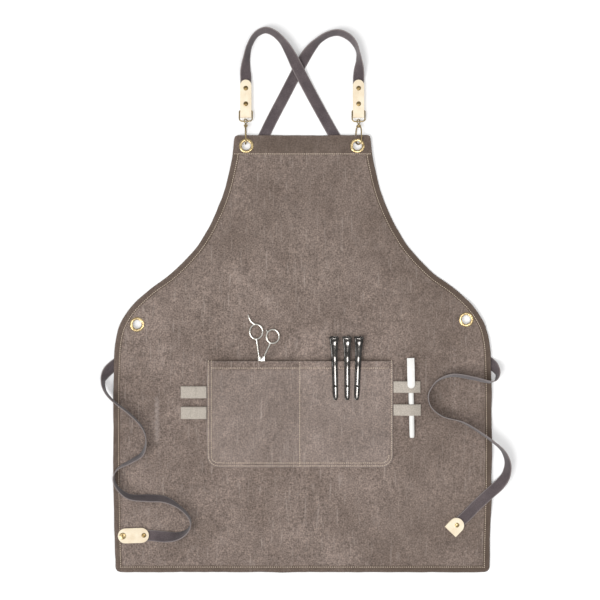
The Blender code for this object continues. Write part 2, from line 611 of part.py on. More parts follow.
def make_scissors():
    """Two halves on one pivot screw, closed, with their blades in the left compartment."""
    low, upper = SCISSOR_LOW, SCISSOR_LOW + SCISSOR_PLATE + GAP
    mirrored_blade = [(2 * PIVOT.x / MM - x, y) for x, y in BLADE]
    height = low + SCISSOR_WIRE + 0.05 * MM
    shank = ((-82.6, -22.6, height), (-81, -36, height), (-79, -49, low + 1.3 * MM),
             (-78, -57, low + 0.9 * MM))
    scissor_half("scissors_lower", low, BLADE, LOWER_RING, height, shank, FINGER_REST)
    height = low + SCISSOR_PLATE
    shank = ((-57.6, -29.6, height), (-62.5, -40, height + 0.1 * MM), (-67.5, -50, upper + 1.0 * MM),
             (-69.8, -57, upper + 0.9 * MM))
    scissor_half("scissors_upper", upper, mirrored_blade, UPPER_RING, height, shank, BUMPER)
    top = upper + SCISSOR_PLATE + GAP
    screw = ((0, low + 0.2 * MM), (POST, low + 0.2 * MM), (POST, top), (3.4 * MM, top),
             (3.0 * MM, top + 0.8 * MM), (0, top + 0.8 * MM))
    make_object("scissors_screw", turned(screw, 16, place=PIVOT), "steel")


def clip_arm(name, facing, parent):
    """A sectioning clip's arm, front (facing 1) or back (facing -1) of the cloth between them."""
    bm = bmesh.new()
    rings = []
    for y, half, inner, outer in CLIP_ROWS:
        rounded = 0.72 * half
        near, far, edge = facing * inner, facing * outer, facing * (outer - 0.6)
        section = ((-half, near), (half, near), (half, edge), (rounded, far), (-rounded, far), (-half, edge))
        rings.append([bm.verts.new(Vector((x, y, z)) * MM) for x, z in section])
    join_rings(bm, rings, closed=False)
    arm = make_object(name, bm, "gunmetal", parent)
    reach = 5.05 if facing > 0 else 3.6
    for side in (-1, 1):
        outline = [(side * (reach + dx) * MM, dy * MM) for dx, dy in
                   ((-0.5, -2.2), (0.5, -2.2), (0.5, 2.2), (-0.5, 2.2))]
        depth = sorted((facing * -1.2 * MM, facing * 2.2 * MM))
        lug = make_object(f"{name}_lug_{side + 2}", prism(outline, *depth), "gunmetal", parent)
        combine(arm, lug, "UNION")
    bore = round_cutter(name + "_bore", (-10 * MM, 0, 0), PIN_RADIUS + GAP, 0, CUT_HIGH, "X", parent)
    combine(arm, bore, "DIFFERENCE")
    return arm


def make_clip(name, x, y, turn):
    """Two arms on a hinge pin, gripping the pocket's mouth."""
    axis = make_empty(name + "_axis", (x * MM, y * MM, CLIP_MIDDLE), (0, 0, math.radians(turn)))
    front = clip_arm(name + "_front", 1, axis)
    clip_arm(name + "_back", -1, axis)
    vent = round_cutter(name + "_vent", (0, -48 * MM, 0), 1.2 * MM, 0, 10 * MM, parent=axis)
    combine(front, vent, "DIFFERENCE")
    make_object(name + "_pin", turned(disc(PIN_RADIUS, -5.3 * MM, 5.3 * MM), 10, "X"), "steel", axis)


def make_pen():
    """An oval barrel through the right loops, and the broad clip in front of the upper loop."""
    axis = make_empty("pen_axis", (PEN_TOP.x, PEN_TOP.y, PEN_CENTRE), (0, 0, PEN_TURN))
    bm = bmesh.new()
    rings = []
    for down, wide, tall in PEN_ROWS:
        section = arc((0, 0), (wide * MM, tall * MM), 0, 330, 11)
        rings.append([bm.verts.new((x, -down * MM, z)) for x, z in section])
    join_rings(bm, rings, closed=False)
    make_object("pen_barrel", bm, "white_plastic", axis)
    front = 2.8 * MM + 2 * GAP + LOOP_BAND
    plate = stadium(-54 * MM, 0.5 * MM, 13.4 * MM, True, False)
    clip = make_object("pen_clip", prism(plate, front, front + 2.2 * MM), "white_plastic", axis)
    bridge_plan = ((-4 * MM, -9 * MM), (4 * MM, -9 * MM), (4 * MM, -1 * MM), (-4 * MM, -1 * MM))
    bridge = make_object("pen_bridge", prism(bridge_plan, 2.8 * MM + GAP, front + 1 * MM),
                         "white_plastic", axis)
    combine(clip, bridge, "UNION")


def main():
    clear_scene()
    make_panel()
    make_pocket()
    for name, sizes in LOOPS.items():
        make_loop(name, *sizes)
    for name, place in GROMMETS.items():
        make_grommet(name, *place)
    strap_left = make_object("strap_left", ribbon(STRAP_LEFT), "webbing")
    strap_right = make_object("strap_right", ribbon(STRAP_RIGHT), "webbing")
    make_top_tab("left", strap_left)
    make_top_tab("right", strap_right)
    make_open_tail_tab(strap_right)
    make_folded_tail_tab(strap_left)
    for side in ("left", "right"):
        make_hook(side)
    make_scissors()
    for name, (x, y, turn) in CLIPS.items():
        make_clip(name, x, y, turn)
    make_pen()


main()
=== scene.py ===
"""The looks of a cross-back canvas apron that lies flat on a white table, seen from straight above."""

import math

import bmesh
import bpy
import numpy as np
from mathutils import Matrix, Vector, geometry, noise


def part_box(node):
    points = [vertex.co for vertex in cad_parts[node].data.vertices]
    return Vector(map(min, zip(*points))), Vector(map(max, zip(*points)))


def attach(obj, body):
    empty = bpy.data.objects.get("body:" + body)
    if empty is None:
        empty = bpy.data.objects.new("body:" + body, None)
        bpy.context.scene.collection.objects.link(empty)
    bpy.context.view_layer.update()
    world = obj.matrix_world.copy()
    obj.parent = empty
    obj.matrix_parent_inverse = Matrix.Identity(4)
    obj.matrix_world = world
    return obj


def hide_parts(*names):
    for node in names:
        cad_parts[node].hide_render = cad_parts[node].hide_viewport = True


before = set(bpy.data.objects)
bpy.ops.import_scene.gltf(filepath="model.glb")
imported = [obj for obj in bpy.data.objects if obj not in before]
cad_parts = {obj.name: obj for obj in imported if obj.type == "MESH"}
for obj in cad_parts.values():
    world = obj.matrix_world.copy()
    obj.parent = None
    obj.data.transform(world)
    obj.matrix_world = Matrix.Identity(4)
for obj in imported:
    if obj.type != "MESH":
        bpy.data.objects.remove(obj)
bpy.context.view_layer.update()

MM = 0.001
GAP = 0.3 * MM

# View: straight down on the middle of the apron.
VIEW_WIDTH = 1.08
VIEW_CENTRE = (-4.5 * MM, 47.5 * MM)
LENS, SENSOR = 80, 36
CAMERA_HEIGHT = VIEW_WIDTH * LENS / SENSOR
TABLE_REACH = 30
# Light: the even surround, a sun (direction, width in degrees, strength) and softboxes (place, size, power).
SURROUND = 0.56
KEY = ((0.62, 0.52, -0.9), 32, 1.5)
SOFTBOXES = {
    "overhead": ((0.19, -0.2, 3.2), (0.30, 0.7), 22),
    "strip_left": ((-0.47, -0.05, 1.9), (0.07, 1.7), 3),
    "strip_right": ((1.1, 0.3, 1.7), (0.10, 1.4), 3),
}

# Panel.
PANEL_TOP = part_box("body_panel")[1][2]
PANEL_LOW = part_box("body_panel")[0][2]
CLOTH = 1.1 * MM
CLOTH_REST = 1.7 * MM
BIB_Y, HEM_Y = 345 * MM, -444 * MM
BIB_CORNER, HEM_CORNER = 5 * MM, 10 * MM
SIDE_KNOTS = ((124, 335), (128.5, 299), (147.5, 227), (183.5, 155), (231, 101), (279, 65),
              (314, 29), (333, -7), (340, -61), (341.5, -250), (338, -425))
HEM_WIDTH = 12.0 * MM
HEM_STEP = 0.9 * MM
HEM_SEAM = 1.6 * MM
# The pale rub along a cut edge: how far in it lies, and how wide it is.
RUB_IN, RUB_WIDTH = 0.9 * MM, 0.8 * MM
# How far in from the edge the cloth's rows of points lie.
PANEL_ROWS = (1.3 * MM, 5 * MM, 9.2 * MM, HEM_WIDTH - 0.5 * MM, HEM_WIDTH + 0.7 * MM)
POCKET_ROWS = (1.3 * MM, 2.7 * MM, 4.4 * MM, 6.3 * MM, 7.9 * MM, 9.2 * MM, 13 * MM)
EDGE_FALL = 26 * MM
OVER_STRAP = 1.9 * MM
WAVE = 1.7 * MM
# Faint pressed creases: x, low y, high y, half width and height.
CREASES = ((273 * MM, -160 * MM, -25 * MM, 4 * MM, 2.0 * MM),
           (218 * MM, -225 * MM, -180 * MM, 3 * MM, 1.4 * MM),
           (-262 * MM, -215 * MM, -120 * MM, 6 * MM, 0.8 * MM))
BAND_WIDTH, BAND_REACH = 36 * MM, 122 * MM
GROMMETS = {"bib_left": (-101.2, 325.2), "bib_right": (98.8, 325.2),
            "hip_left": (-297.7, 3.6), "hip_right": (294.8, 12.2)}
PANEL_HOLE = 9.0 * MM

# Pocket.
POCKET_LEFT, POCKET_RIGHT = -172 * MM, 163 * MM
POCKET_MOUTH, POCKET_LOW = -62.3 * MM, -253.6 * MM
POCKET_DIVIDER = -5 * MM
POCKET_CORNER = 21 * MM
POCKET_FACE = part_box("pocket")[1][2] - 0.05 * MM
POCKET_SEAT = PANEL_TOP + 1.2 * MM
POCKET_HEM = 14 * MM
POCKET_SEAMS = (2.7 * MM, 7.9 * MM)
# What fills the pocket: x, half width and how low it reaches.
TOOLS_IN_POCKET = ((-73.8 * MM, 13 * MM, -190 * MM), (57.4 * MM, 15 * MM, -176 * MM),
                   (80.1 * MM, 15 * MM, -176 * MM), (99.9 * MM, 15 * MM, -176 * MM))
ELASTIC = 1.1 * MM
# Elastic loops: outer end, sewn end, upper edge, lower edge, crown height and where the crown is.
LOOPS = {
    "loop_left_upper": (-219.5, -172.4, -107.6, -129.2, 10.6 * MM, -195),
    "loop_left_lower": (-219.5, -172.4, -144.5, -166.5, 11.2 * MM, -193),
    "loop_right_upper": (212.5, 163.4, -98.6, -119.2, 13.95 * MM, 193),
    "loop_right_lower": (213.4, 163.4, -140.0, -160.2, 13.95 * MM, 192),
}
# Where loops and tools hold the panel flat.
LOOP_PLACES = ((-196 * MM, -137 * MM), (189 * MM, -129 * MM), (193 * MM, -170 * MM), (193 * MM, -80 * MM))

# Stitches: the thread's radius, and one stitch as (share of its length, thickness and lift in radii).
STITCH_LENGTH, STITCH_PITCH, THREAD = 2.9 * MM, 3.8 * MM, 0.56 * MM
STITCH = ((-0.5, 0.35, -0.5), (-0.3, 0.9, 0.2), (0, 1.0, 0.5), (0.3, 0.9, 0.2), (0.5, 0.35, -0.5))

# Straps as (x, y, height that it rests on, lean of its width in degrees).
WEB_WIDTH, WEB_THICK = 20 * MM, 1.8 * MM
LOWEST_REST = 0.1
STRAP_LEFT = (
    (-102, 394, 3.1, 0), (-102, 418, 3.1, 0), (-102, 446, 3.1, 0), (-102.5, 462, 1.4, 28),
    (-100.5, 482, 0.2, 56), (-95.5, 504, 0.2, 68), (-84, 524, 0.2, 70), (-67, 532.5, 0.2, 68),
    (-51, 527, 0.2, 65), (-36, 513, 0.8, 58), (-22, 491, 2.6, 36), (-9, 466, 2.5, 8),
    (4, 441, 2.3, 0), (20, 411, 1.2, 0), (57, 345, 0.2, 0), (110, 258, 0.2, 0),
    (165, 165, 0.2, 0), (215, 82, 0.2, 0), (256, 13, 0.2, 0), (298, -33, 0.2, 0),
    (325, -57, 0.2, 0), (338, -66.2, 0.2, 3), (347.3, -77, 0.3, 47), (350.5, -88, 1.8, 80),
    (345.5, -97, 5.6, 94), (336, -99.5, 6.3, 102), (309, -93.5, 6.1, 107), (269, -87.5, 6.1, 106),
    (243, -96.5, 6.1, 100), (228.5, -114.5, 6.1, 96), (225.5, -128, 6.1, 94), (231, -145, 6.1, 92),
    (251, -161, 6.1, 90), (287, -171.5, 6.1, 84), (314, -187, 6.1, 82), (342, -207, 6.1, 82),
    (360, -224, 5.2, 78), (368.5, -245, 3.2, 66), (365.5, -267, 3.2, 48), (354, -284, 5.6, 22),
    (338, -299, 6.1, 4), (312, -323, 6.2, 0), (296, -339, 8.0, 0),
    (287, -347.5, 8.1, 0), (277, -357, 8.1, 0),
)
STRAP_RIGHT = (
    (101, 394, 3.1, 0), (101, 418, 3.1, 0), (101, 446, 3.1, 0), (101.5, 462, 1.4, -28),
    (101.5, 478, 0.2, -62), (99.5, 494, 0.2, -78), (94, 508, 0.2, -72), (82, 521, 0.2, -66),
    (64, 528, 0.2, -68), (45, 524, 0.2, -68), (28, 513, 0.2, -62), (12, 496, 0.2, -32),
    (-2, 474, 0.2, 0), (-17, 446, 0.2, 0), (-32, 417, 0.2, 0), (-60, 363, 0.2, 0),
    (-110, 258, 0.2, 0), (-165, 165, 0.2, 0), (-215, 82, 0.2, 0), (-262, 4, 0.2, 0),
    (-300, -36, 0.2, 0), (-334, -66, 0.2, 0), (-349.5, -79.5, 0.2, -26), (-358, -98, 0.8, -76),
    (-354, -116, 4.2, -88), (-341, -132, 6.2, -90), (-311, -156, 6.1, -90), (-287.5, -181, 6.1, -93),
    (-280.5, -205, 6.1, -98), (-287, -228, 6.1, -108), (-306, -241, 6.1, -106),
    (-331, -255, 6.1, -96), (-338.5, -270, 6.1, -92), (-333, -288, 6.1, -88),
    (-311, -305, 6.1, -72), (-276, -308, 6.1, -58), (-248, -310, 6.1, -64), (-222, -323, 6.1, -84),
    (-204, -341, 6.1, -89), (-200.5, -356, 6.1, -93), (-208, -368, 6.1, -103),
    (-224, -376, 6.1, -124), (-246, -378, 6.1, -158), (-268, -376.5, 6.1, -180),
    (-290, -375.5, 6.1, -180),
)

# Points to each stretch of a strap's route, and how far out across a strap's half width its painted edge
# highlight starts.
WEB_STEPS = 8
EDGE_HIGHLIGHT_FROM = 0.93

# Tabs, rings, hooks and rivets.
TAB_X = {"left": -102 * MM, "right": 101 * MM}
GROMMET_HOLE, GROMMET_BARREL, GROMMET_RIM = 8.0 * MM, 8.7 * MM, 13.1 * MM
ROLL_HEIGHT, WASHER_THICK, BARREL_GAP = 1.0 * MM, 0.8 * MM, 0.1 * MM
RING_WIRE, RING_WIDTH, RING_LENGTH = 1.2 * MM, 23 * MM, 19.8 * MM
RING_Y, RING_Z = 388.6 * MM, 4.3 * MM
RING_TIGHT, RING_ROUND = 2.5 * MM, 5 * MM
HOOK_WIRE, HOOK_REACH, HOOK_LENGTH = 1.3 * MM, 6.5 * MM, 34.6 * MM
HOOK_ROLL = {"left": 0.0, "right": math.radians(48)}
GATE_WIRE, LUG_WIRE = 1.15 * MM, 1.5 * MM
GATE_PATH = ((-10.4, -4.7), (-14.0, -5.3), (-18.0, -6.1), (-21.3, -6.5))
EYE_RADIUS, EYE_WIRE = 3.8 * MM, 0.95 * MM
RIVET_HEAD, RIVET_BACK, RIVET_POST, SNAP_HEAD = 4.2 * MM, 3.6 * MM, 1.6 * MM, 6.0 * MM
RIVET_BACK_THICK, RIVET_CAP, RIVET_STEP, RIVET_DOME = 0.7 * MM, 1.4 * MM, 0.6 * MM, 0.8 * MM

# Clips: pivot place and turn; rows of one arm up from the pivot: height, half width, inner and outer face.
CLIPS = {"clip_1": (57.4, -59, 1.4), "clip_2": (80.1, -59, 0.0), "clip_3": (99.9, -59, -2.3)}
CLIP_MIDDLE = 12.2 * MM
CLIP_ROWS = (
    (41, 7.6, 4.6, 5.6), (39, 8.3, 4.3, 6.0), (28, 7.0, 3.6, 5.4), (14, 6.0, 2.5, 4.4),
    (4, 5.7, 1.6, 3.6), (-4, 5.6, 1.5, 3.4), (-12, 5.3, 0.9, 2.9), (-40, 5.1, 0.8, 2.6),
    (-64, 4.8, 0.8, 2.5), (-70, 4.2, 0.8, 2.4), (-73, 2.4, 0.9, 2.2),
)
CLIP_RIBS_FROM, CLIP_RIB_PITCH, CLIP_RIB_HEIGHT = 30, 2.4, 0.22
CLIP_LIP = 0.45
VENT_RADIUS, VENT_THICK, VENT_HEIGHT, VENT_DOWN = 1.9 * MM, 0.2 * MM, 2.42 * MM, 48 * MM

# Pen: barrel rows down from its top, as distance, half width and half height.
PEN_TOP = (193.8 * MM, -57 * MM)
PEN_TURN = math.radians(1.2)
PEN_CENTRE = 10.3 * MM
PEN_ROWS = ((0, 3.0, 1.7), (0.6, 4.0, 2.3), (2, 4.6, 2.7), (40, 4.7, 2.8), (120, 4.6, 2.8), (139, 4.4, 2.7),
            (142.2, 3.8, 2.3), (143, 3.0, 1.7))

# How far the edges of leather, scissors and the pen's clip are rounded over.
LEATHER_EDGE, SCISSOR_EDGE, PEN_CLIP_EDGE = 0.45 * MM, 0.3 * MM, 0.7 * MM

# The cloth lies on the table at its edges and stays up where something is under or on it, as
# (x, y, reach): here, and below every stretch of strap that rests on it.
HELD_UP = tuple((x, y, 15) for x, y, rest, _ in STRAP_LEFT + STRAP_RIGHT if rest > 5)
HELD_UP += ((-101, 325, 45), (99, 325, 45), (-298, 4, 34), (295, 12, 34), (333, -75, 55), (-333, -75, 55),
           (-334, -128, 36), (-334, -270, 34), (-312, -376, 40), (334, -205, 36), (338, -292, 36))


# ---------------------------------------------------------------- shapes

def smooth_route(route, steps):
    """Points on one smooth curve through the route's own points, with `steps` to each stretch."""
    knots = [Vector(point) for point in route]
    times = [0.0]
    for before, after in zip(knots, knots[1:]):
        times.append(times[-1] + (after - before).length)
    slopes = []
    for index in range(len(knots)):
        low, high = max(index - 1, 0), min(index + 1, len(knots) - 1)
        slopes.append((knots[high] - knots[low]) / (times[high] - times[low]))
    points = []
    for index in range(len(knots) - 1):
        span = times[index + 1] - times[index]
        for step in range(steps):
            t = step / steps
            point = (2 * t**3 - 3 * t**2 + 1) * knots[index] + (3 * t**2 - 2 * t**3) * knots[index + 1]
            point += (t**3 - 2 * t**2 + t) * span * slopes[index]
            point += (t**3 - t**2) * span * slopes[index + 1]
            points.append(point)
    return points + [knots[-1]]


def arc(centre, radius, start, end, steps):
    """(x, y) points on an arc, its angles in degrees; radius may be an (x, y) pair."""
    wide, tall = radius if isinstance(radius, tuple) else (radius, radius)
    angles = [math.radians(start + (end - start) * step / steps) for step in range(steps + 1)]
    return [(centre[0] + wide * math.cos(a), centre[1] + tall * math.sin(a)) for a in angles]


def even_points(points, spacing, closed=False):
    """The polyline resampled at an even spacing, as an (n, 2 or 3) array."""
    points = np.array([tuple(point) for point in points], float)
    if closed:
        points = np.vstack([points, points[:1]])
    steps = np.linalg.norm(np.diff(points, axis=0), axis=1)
    along = np.concatenate([[0], np.cumsum(steps)])
    count = max(int(round(along[-1] / spacing)), 2)
    places = np.linspace(0, along[-1], count + 1)
    even = np.column_stack([np.interp(places, along, points[:, axis]) for axis in range(points.shape[1])])
    return even[:-1] if closed else even


def inward(outline, distance):
    """A closed anticlockwise or clockwise plan outline moved inwards by a distance."""
    before, after = np.roll(outline, 1, axis=0), np.roll(outline, -1, axis=0)
    along = after - before
    along /= np.linalg.norm(along, axis=1)[:, None]
    x, y = outline[:, 0], outline[:, 1]
    turn = np.sign(np.sum(x * np.roll(y, -1) - np.roll(x, -1) * y))
    return outline + distance * turn * np.column_stack([-along[:, 1], along[:, 0]])


def edge_distance(places, outline):
    """How far each place is from a closed outline."""
    start, end = outline, np.roll(outline, -1, axis=0)
    line = end - start
    best = np.full(len(places), 1e9)
    for a, ab in zip(start, line):
        reach = places - a
        t = np.clip(reach @ ab / (ab @ ab), 0, 1)
        gap = reach - t[:, None] * ab
        best = np.minimum(best, np.einsum("ij,ij->i", gap, gap))
    return np.sqrt(best)


def inside(places, outline):
    """Which places lie inside a closed outline."""
    x, y = places[:, 0], places[:, 1]
    found = np.zeros(len(places), bool)
    for (ax, ay), (bx, by) in zip(outline, np.roll(outline, -1, axis=0)):
        crosses = (ay > y) != (by > y)
        if ay != by:
            found ^= crosses & (x < (bx - ax) * (y - ay) / (by - ay) + ax)
    return found


def smooth_step(value):
    """An S curve from 0 to 1."""
    value = np.clip(value, 0, 1)
    return value * value * (3 - 2 * value)


def rise(value, over):
    """The S curve from 0 to 1 as a value goes from 0 to `over`."""
    return smooth_step(value / over)


def step_at(value):
    """A crisp but rounded step from 0 to 1 where the value crosses 0."""
    return rise(value + 0.6 * MM, 1.2 * MM)


def bell(away, width):
    """1 where away is 0, falling off over a width."""
    return np.exp(-(away / width) ** 2)


def soft_noise(places, scale, seed):
    """Smooth noise from -1 to 1 at each plan place."""
    return np.array([noise.noise(Vector((x * scale, y * scale, seed))) for x, y in places])


def new_mesh(name, verts, faces):
    """A mesh of the given points and faces."""
    mesh = bpy.data.meshes.new(name)
    mesh.from_pydata(verts, [], faces)
    return mesh


def add_object(name, mesh, finish):
    """A mesh as a smooth-shaded object, with edges past 50 degrees kept sharp."""
    obj = bpy.data.objects.new(name, mesh)
    bpy.context.collection.objects.link(obj)
    mesh.materials.clear()
    mesh.materials.append(finish)
    mesh.shade_smooth()
    mesh.set_sharp_from_angle(angle=math.radians(50))
    return obj


def bmesh_object(name, bm, finish):
    """A bmesh made into an object, its faces turned outwards."""
    bmesh.ops.recalc_face_normals(bm, faces=bm.faces)
    mesh = bpy.data.meshes.new(name)
    bm.to_mesh(mesh)
    bm.free()
    return add_object(name, mesh, finish)


def apply_modifiers(obj):
    """Bakes an object's modifiers into its mesh."""
    graph = bpy.context.evaluated_depsgraph_get()
    mesh = bpy.data.meshes.new_from_object(obj.evaluated_get(graph))
    obj.modifiers.clear()
    obj.data = mesh


def thicken(obj, thickness, offset):
    """Gives a sheet its thickness: offset -1 grows it down from its faces, 0 both ways."""
    solid = obj.modifiers.new("thickness", "SOLIDIFY")
    solid.thickness = thickness
    solid.offset = offset
    apply_modifiers(obj)


def settle(obj, body, node=None):
    """Sets a piece riding its body, in place of a CAD solid where one is named."""
    if node is not None:
        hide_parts(node)
    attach(obj, body)
    return obj


def cloth_piece(name, outline, holes, highlight_rims, spacing, height, tone, thickness, finish):
    """A cloth cut to a plan outline with holes, shaped by height(places, edge) and solidified.

    rims are the distances in from the edge where the mesh has a row of points of its own, so
    that a hem's step is crisp. tone(places, edge) gives the paler or darker parts of the cloth.
    """
    outline = even_points(outline, 0.8 * spacing, closed=True)
    loops = [outline] + [np.array(hole) for hole in holes]
    points = [place for loop in loops for place in loop]
    edges, start = [], 0
    for loop in loops:
        edges += [(start + index, start + (index + 1) % len(loop)) for index in range(len(loop))]
        start += len(loop)
    for rim in highlight_rims:
        row = inward(outline, rim)
        points += list(row[inside(row, outline) & (edge_distance(row, outline) > 0.9 * rim)])
    low, high = outline.min(axis=0), outline.max(axis=0)
    rows = np.arange(low[1], high[1], spacing * 0.87)
    grid = np.array([(x + (index % 2) * spacing / 2, y) for index, y in enumerate(rows)
                     for x in np.arange(low[0], high[0], spacing)])
    grid = grid[inside(grid, outline)]
    clear = edge_distance(grid, outline) > max(highlight_rims, default=0) + 0.5 * spacing
    for hole in loops[1:]:
        clear &= ~inside(grid, inward(hole, -0.5 * spacing))
    points += list(grid[clear])
    flat = geometry.delaunay_2d_cdt([Vector(place) for place in points], edges, [], 1, 1e-6)
    places = np.array([tuple(vert) for vert in flat[0]])
    faces = np.array(flat[2])
    middles = places[faces].mean(axis=1)
    keep = inside(middles, outline)
    for hole in loops[1:]:
        keep &= ~inside(middles, hole)
    faces = faces[keep]
    edge = edge_distance(places, outline)
    tops = height(places, edge)
    mesh = new_mesh(name, np.column_stack([places, tops]).tolist(), faces.tolist())
    shade = mesh.attributes.new("tone", "FLOAT", "POINT")
    shade.data.foreach_set("value", tone(places, edge).astype(np.float32))
    obj = add_object(name, mesh, finish)
    thicken(obj, thickness, -1)
    return obj


def tube_faces(rings, sides, first=0):
    """Faces of a capped tube whose points are listed ring after ring, starting at `first`."""
    faces = []
    for ring in range(rings - 1):
        for side in range(sides):
            beside = (side + 1) % sides
            a, b = first + ring * sides, first + (ring + 1) * sides
            faces.append((a + side, a + beside, b + beside, b + side))
    faces.append(tuple(first + side for side in reversed(range(sides))))
    faces.append(tuple(first + (rings - 1) * sides + side for side in range(sides)))
    return faces


def stitches(name, lines, height, finish):
    """Rows of single stitches along plan lines, each a short thread that dips in at both ends."""
    verts, faces = [], []
    sides = 6
    for line in lines:
        spots = even_points(line, STITCH_PITCH)
        along = np.gradient(spots, axis=0)
        along /= np.linalg.norm(along, axis=1)[:, None]
        tops = height(spots)
        for spot, run, top in zip(spots, along, tops):
            first = len(verts)
            for reach, thick, lift in STITCH:
                centre = spot + run * reach * STITCH_LENGTH
                for side in range(sides):
                    angle = 2 * math.pi * side / sides
                    across = THREAD * thick * math.cos(angle)
                    up = THREAD * (lift + thick * math.sin(angle))
                    verts.append((centre[0] - run[1] * across, centre[1] + run[0] * across, top + up))
            faces += tube_faces(len(STITCH), sides, first)
    return add_object(name, new_mesh(name, verts, faces), finish)


# ---------------------------------------------------------------- materials

class Nodes:
    """A material's node tree, with short calls for the nodes that the finishes use."""

    def __init__(self, name, roughness=0.8, metallic=0.0, specular=0.5):
        self.material = bpy.data.materials.new(name)
        self.material.use_nodes = True
        self.tree = self.material.node_tree
        self.shader = self.tree.nodes["Principled BSDF"]
        self.shader.inputs["Roughness"].default_value = roughness
        self.shader.inputs["Metallic"].default_value = metallic
        self.shader.inputs["Specular IOR Level"].default_value = specular
        self.place = self.tree.nodes.new("ShaderNodeTexCoord").outputs["Object"]

    def node(self, kind, inputs, **settings):
        """A node of one kind, with a value or a link for each named input."""
        node = self.tree.nodes.new(kind)
        for name, value in settings.items():
            setattr(node, name, value)
        for name, value in inputs.items():
            if isinstance(value, bpy.types.NodeSocket):
                self.tree.links.new(value, node.inputs[name])
            else:
                node.inputs[name].default_value = value
        return node

    def attribute(self, name):
        """One of the mesh's own numbers, such as its tone."""
        return self.node("ShaderNodeAttribute", {}, attribute_name=name).outputs["Fac"]

    def noise(self, scale, detail=3.0, rough=0.55):
        """Noise of one scale."""
        return self.node("ShaderNodeTexNoise", {"Vector": self.place, "Scale": scale, "Detail": detail,
                                                "Roughness": rough}).outputs["Fac"]

    def stretched_noise(self, scale, stretch, detail=2.0):
        """Noise drawn out along an axis, such as brushing."""
        moved = self.node("ShaderNodeMapping", {"Vector": self.place, "Scale": stretch})
        return self.node("ShaderNodeTexNoise", {"Vector": moved.outputs["Vector"], "Scale": scale,
                                                "Detail": detail}).outputs["Fac"]

    def bands(self, period, direction, distortion=0.0):
        """Even stripes, one to each period."""
        scale = 2 * math.pi / (20 * period)
        return self.node("ShaderNodeTexWave", {"Vector": self.place, "Scale": scale, "Distortion": distortion,
                                               "Detail": 1.0, "Detail Scale": 1.0},
                         bands_direction=direction).outputs["Fac"]

    def math(self, operation, first, second=0.5):
        """A maths node on two values."""
        return self.node("ShaderNodeMath", {0: first, 1: second}, operation=operation).outputs[0]

    def ramp(self, value, stops):
        """A colour for a value, from (place, colour) stops."""
        node = self.node("ShaderNodeValToRGB", {"Fac": value})
        elements = node.color_ramp.elements
        while len(elements) < len(stops):
            elements.new(0.5)
        for element, (spot, colour) in zip(elements, stops):
            element.position = spot
            element.color = (*colour, 1)
        return node.outputs["Color"]

    def two_tone(self, value, dark, pale):
        """A ramp from a dark colour to a pale one."""
        return self.ramp(value, ((0.3, dark), (0.7, pale)))

    def mix(self, fac, first, second, blend="MIX"):
        """Two colours mixed."""
        node = self.tree.nodes.new("ShaderNodeMix")
        node.data_type = "RGBA"
        node.blend_type = blend
        for index, value in ((0, fac), (6, first), (7, second)):
            if isinstance(value, bpy.types.NodeSocket):
                self.tree.links.new(value, node.inputs[index])
            else:
                node.inputs[index].default_value = value if index == 0 else (*value, 1)
        return node.outputs[2]

    def colour(self, socket):
        """Sets the base colour."""
        self.tree.links.new(socket, self.shader.inputs["Base Color"])

    def rough(self, value, low, high):
        """Sets a roughness that a value carries from low to high."""
        spread = self.node("ShaderNodeMapRange", {"Value": value, "To Min": low, "To Max": high})
        self.tree.links.new(spread.outputs["Result"], self.shader.inputs["Roughness"])

    def bump(self, height, distance, strength=1.0):
        """Sets the surface relief."""
        node = self.node("ShaderNodeBump", {"Height": height, "Distance": distance, "Strength": strength})
        self.tree.links.new(node.outputs["Normal"], self.shader.inputs["Normal"])


def weave(nodes, period, wander=0.6):
    """Plain weave: crossed ribs, each wandering a little."""
    warp = nodes.bands(period, "X", wander)
    weft = nodes.bands(period, "Y", wander)
    return nodes.math("MULTIPLY", warp, weft)


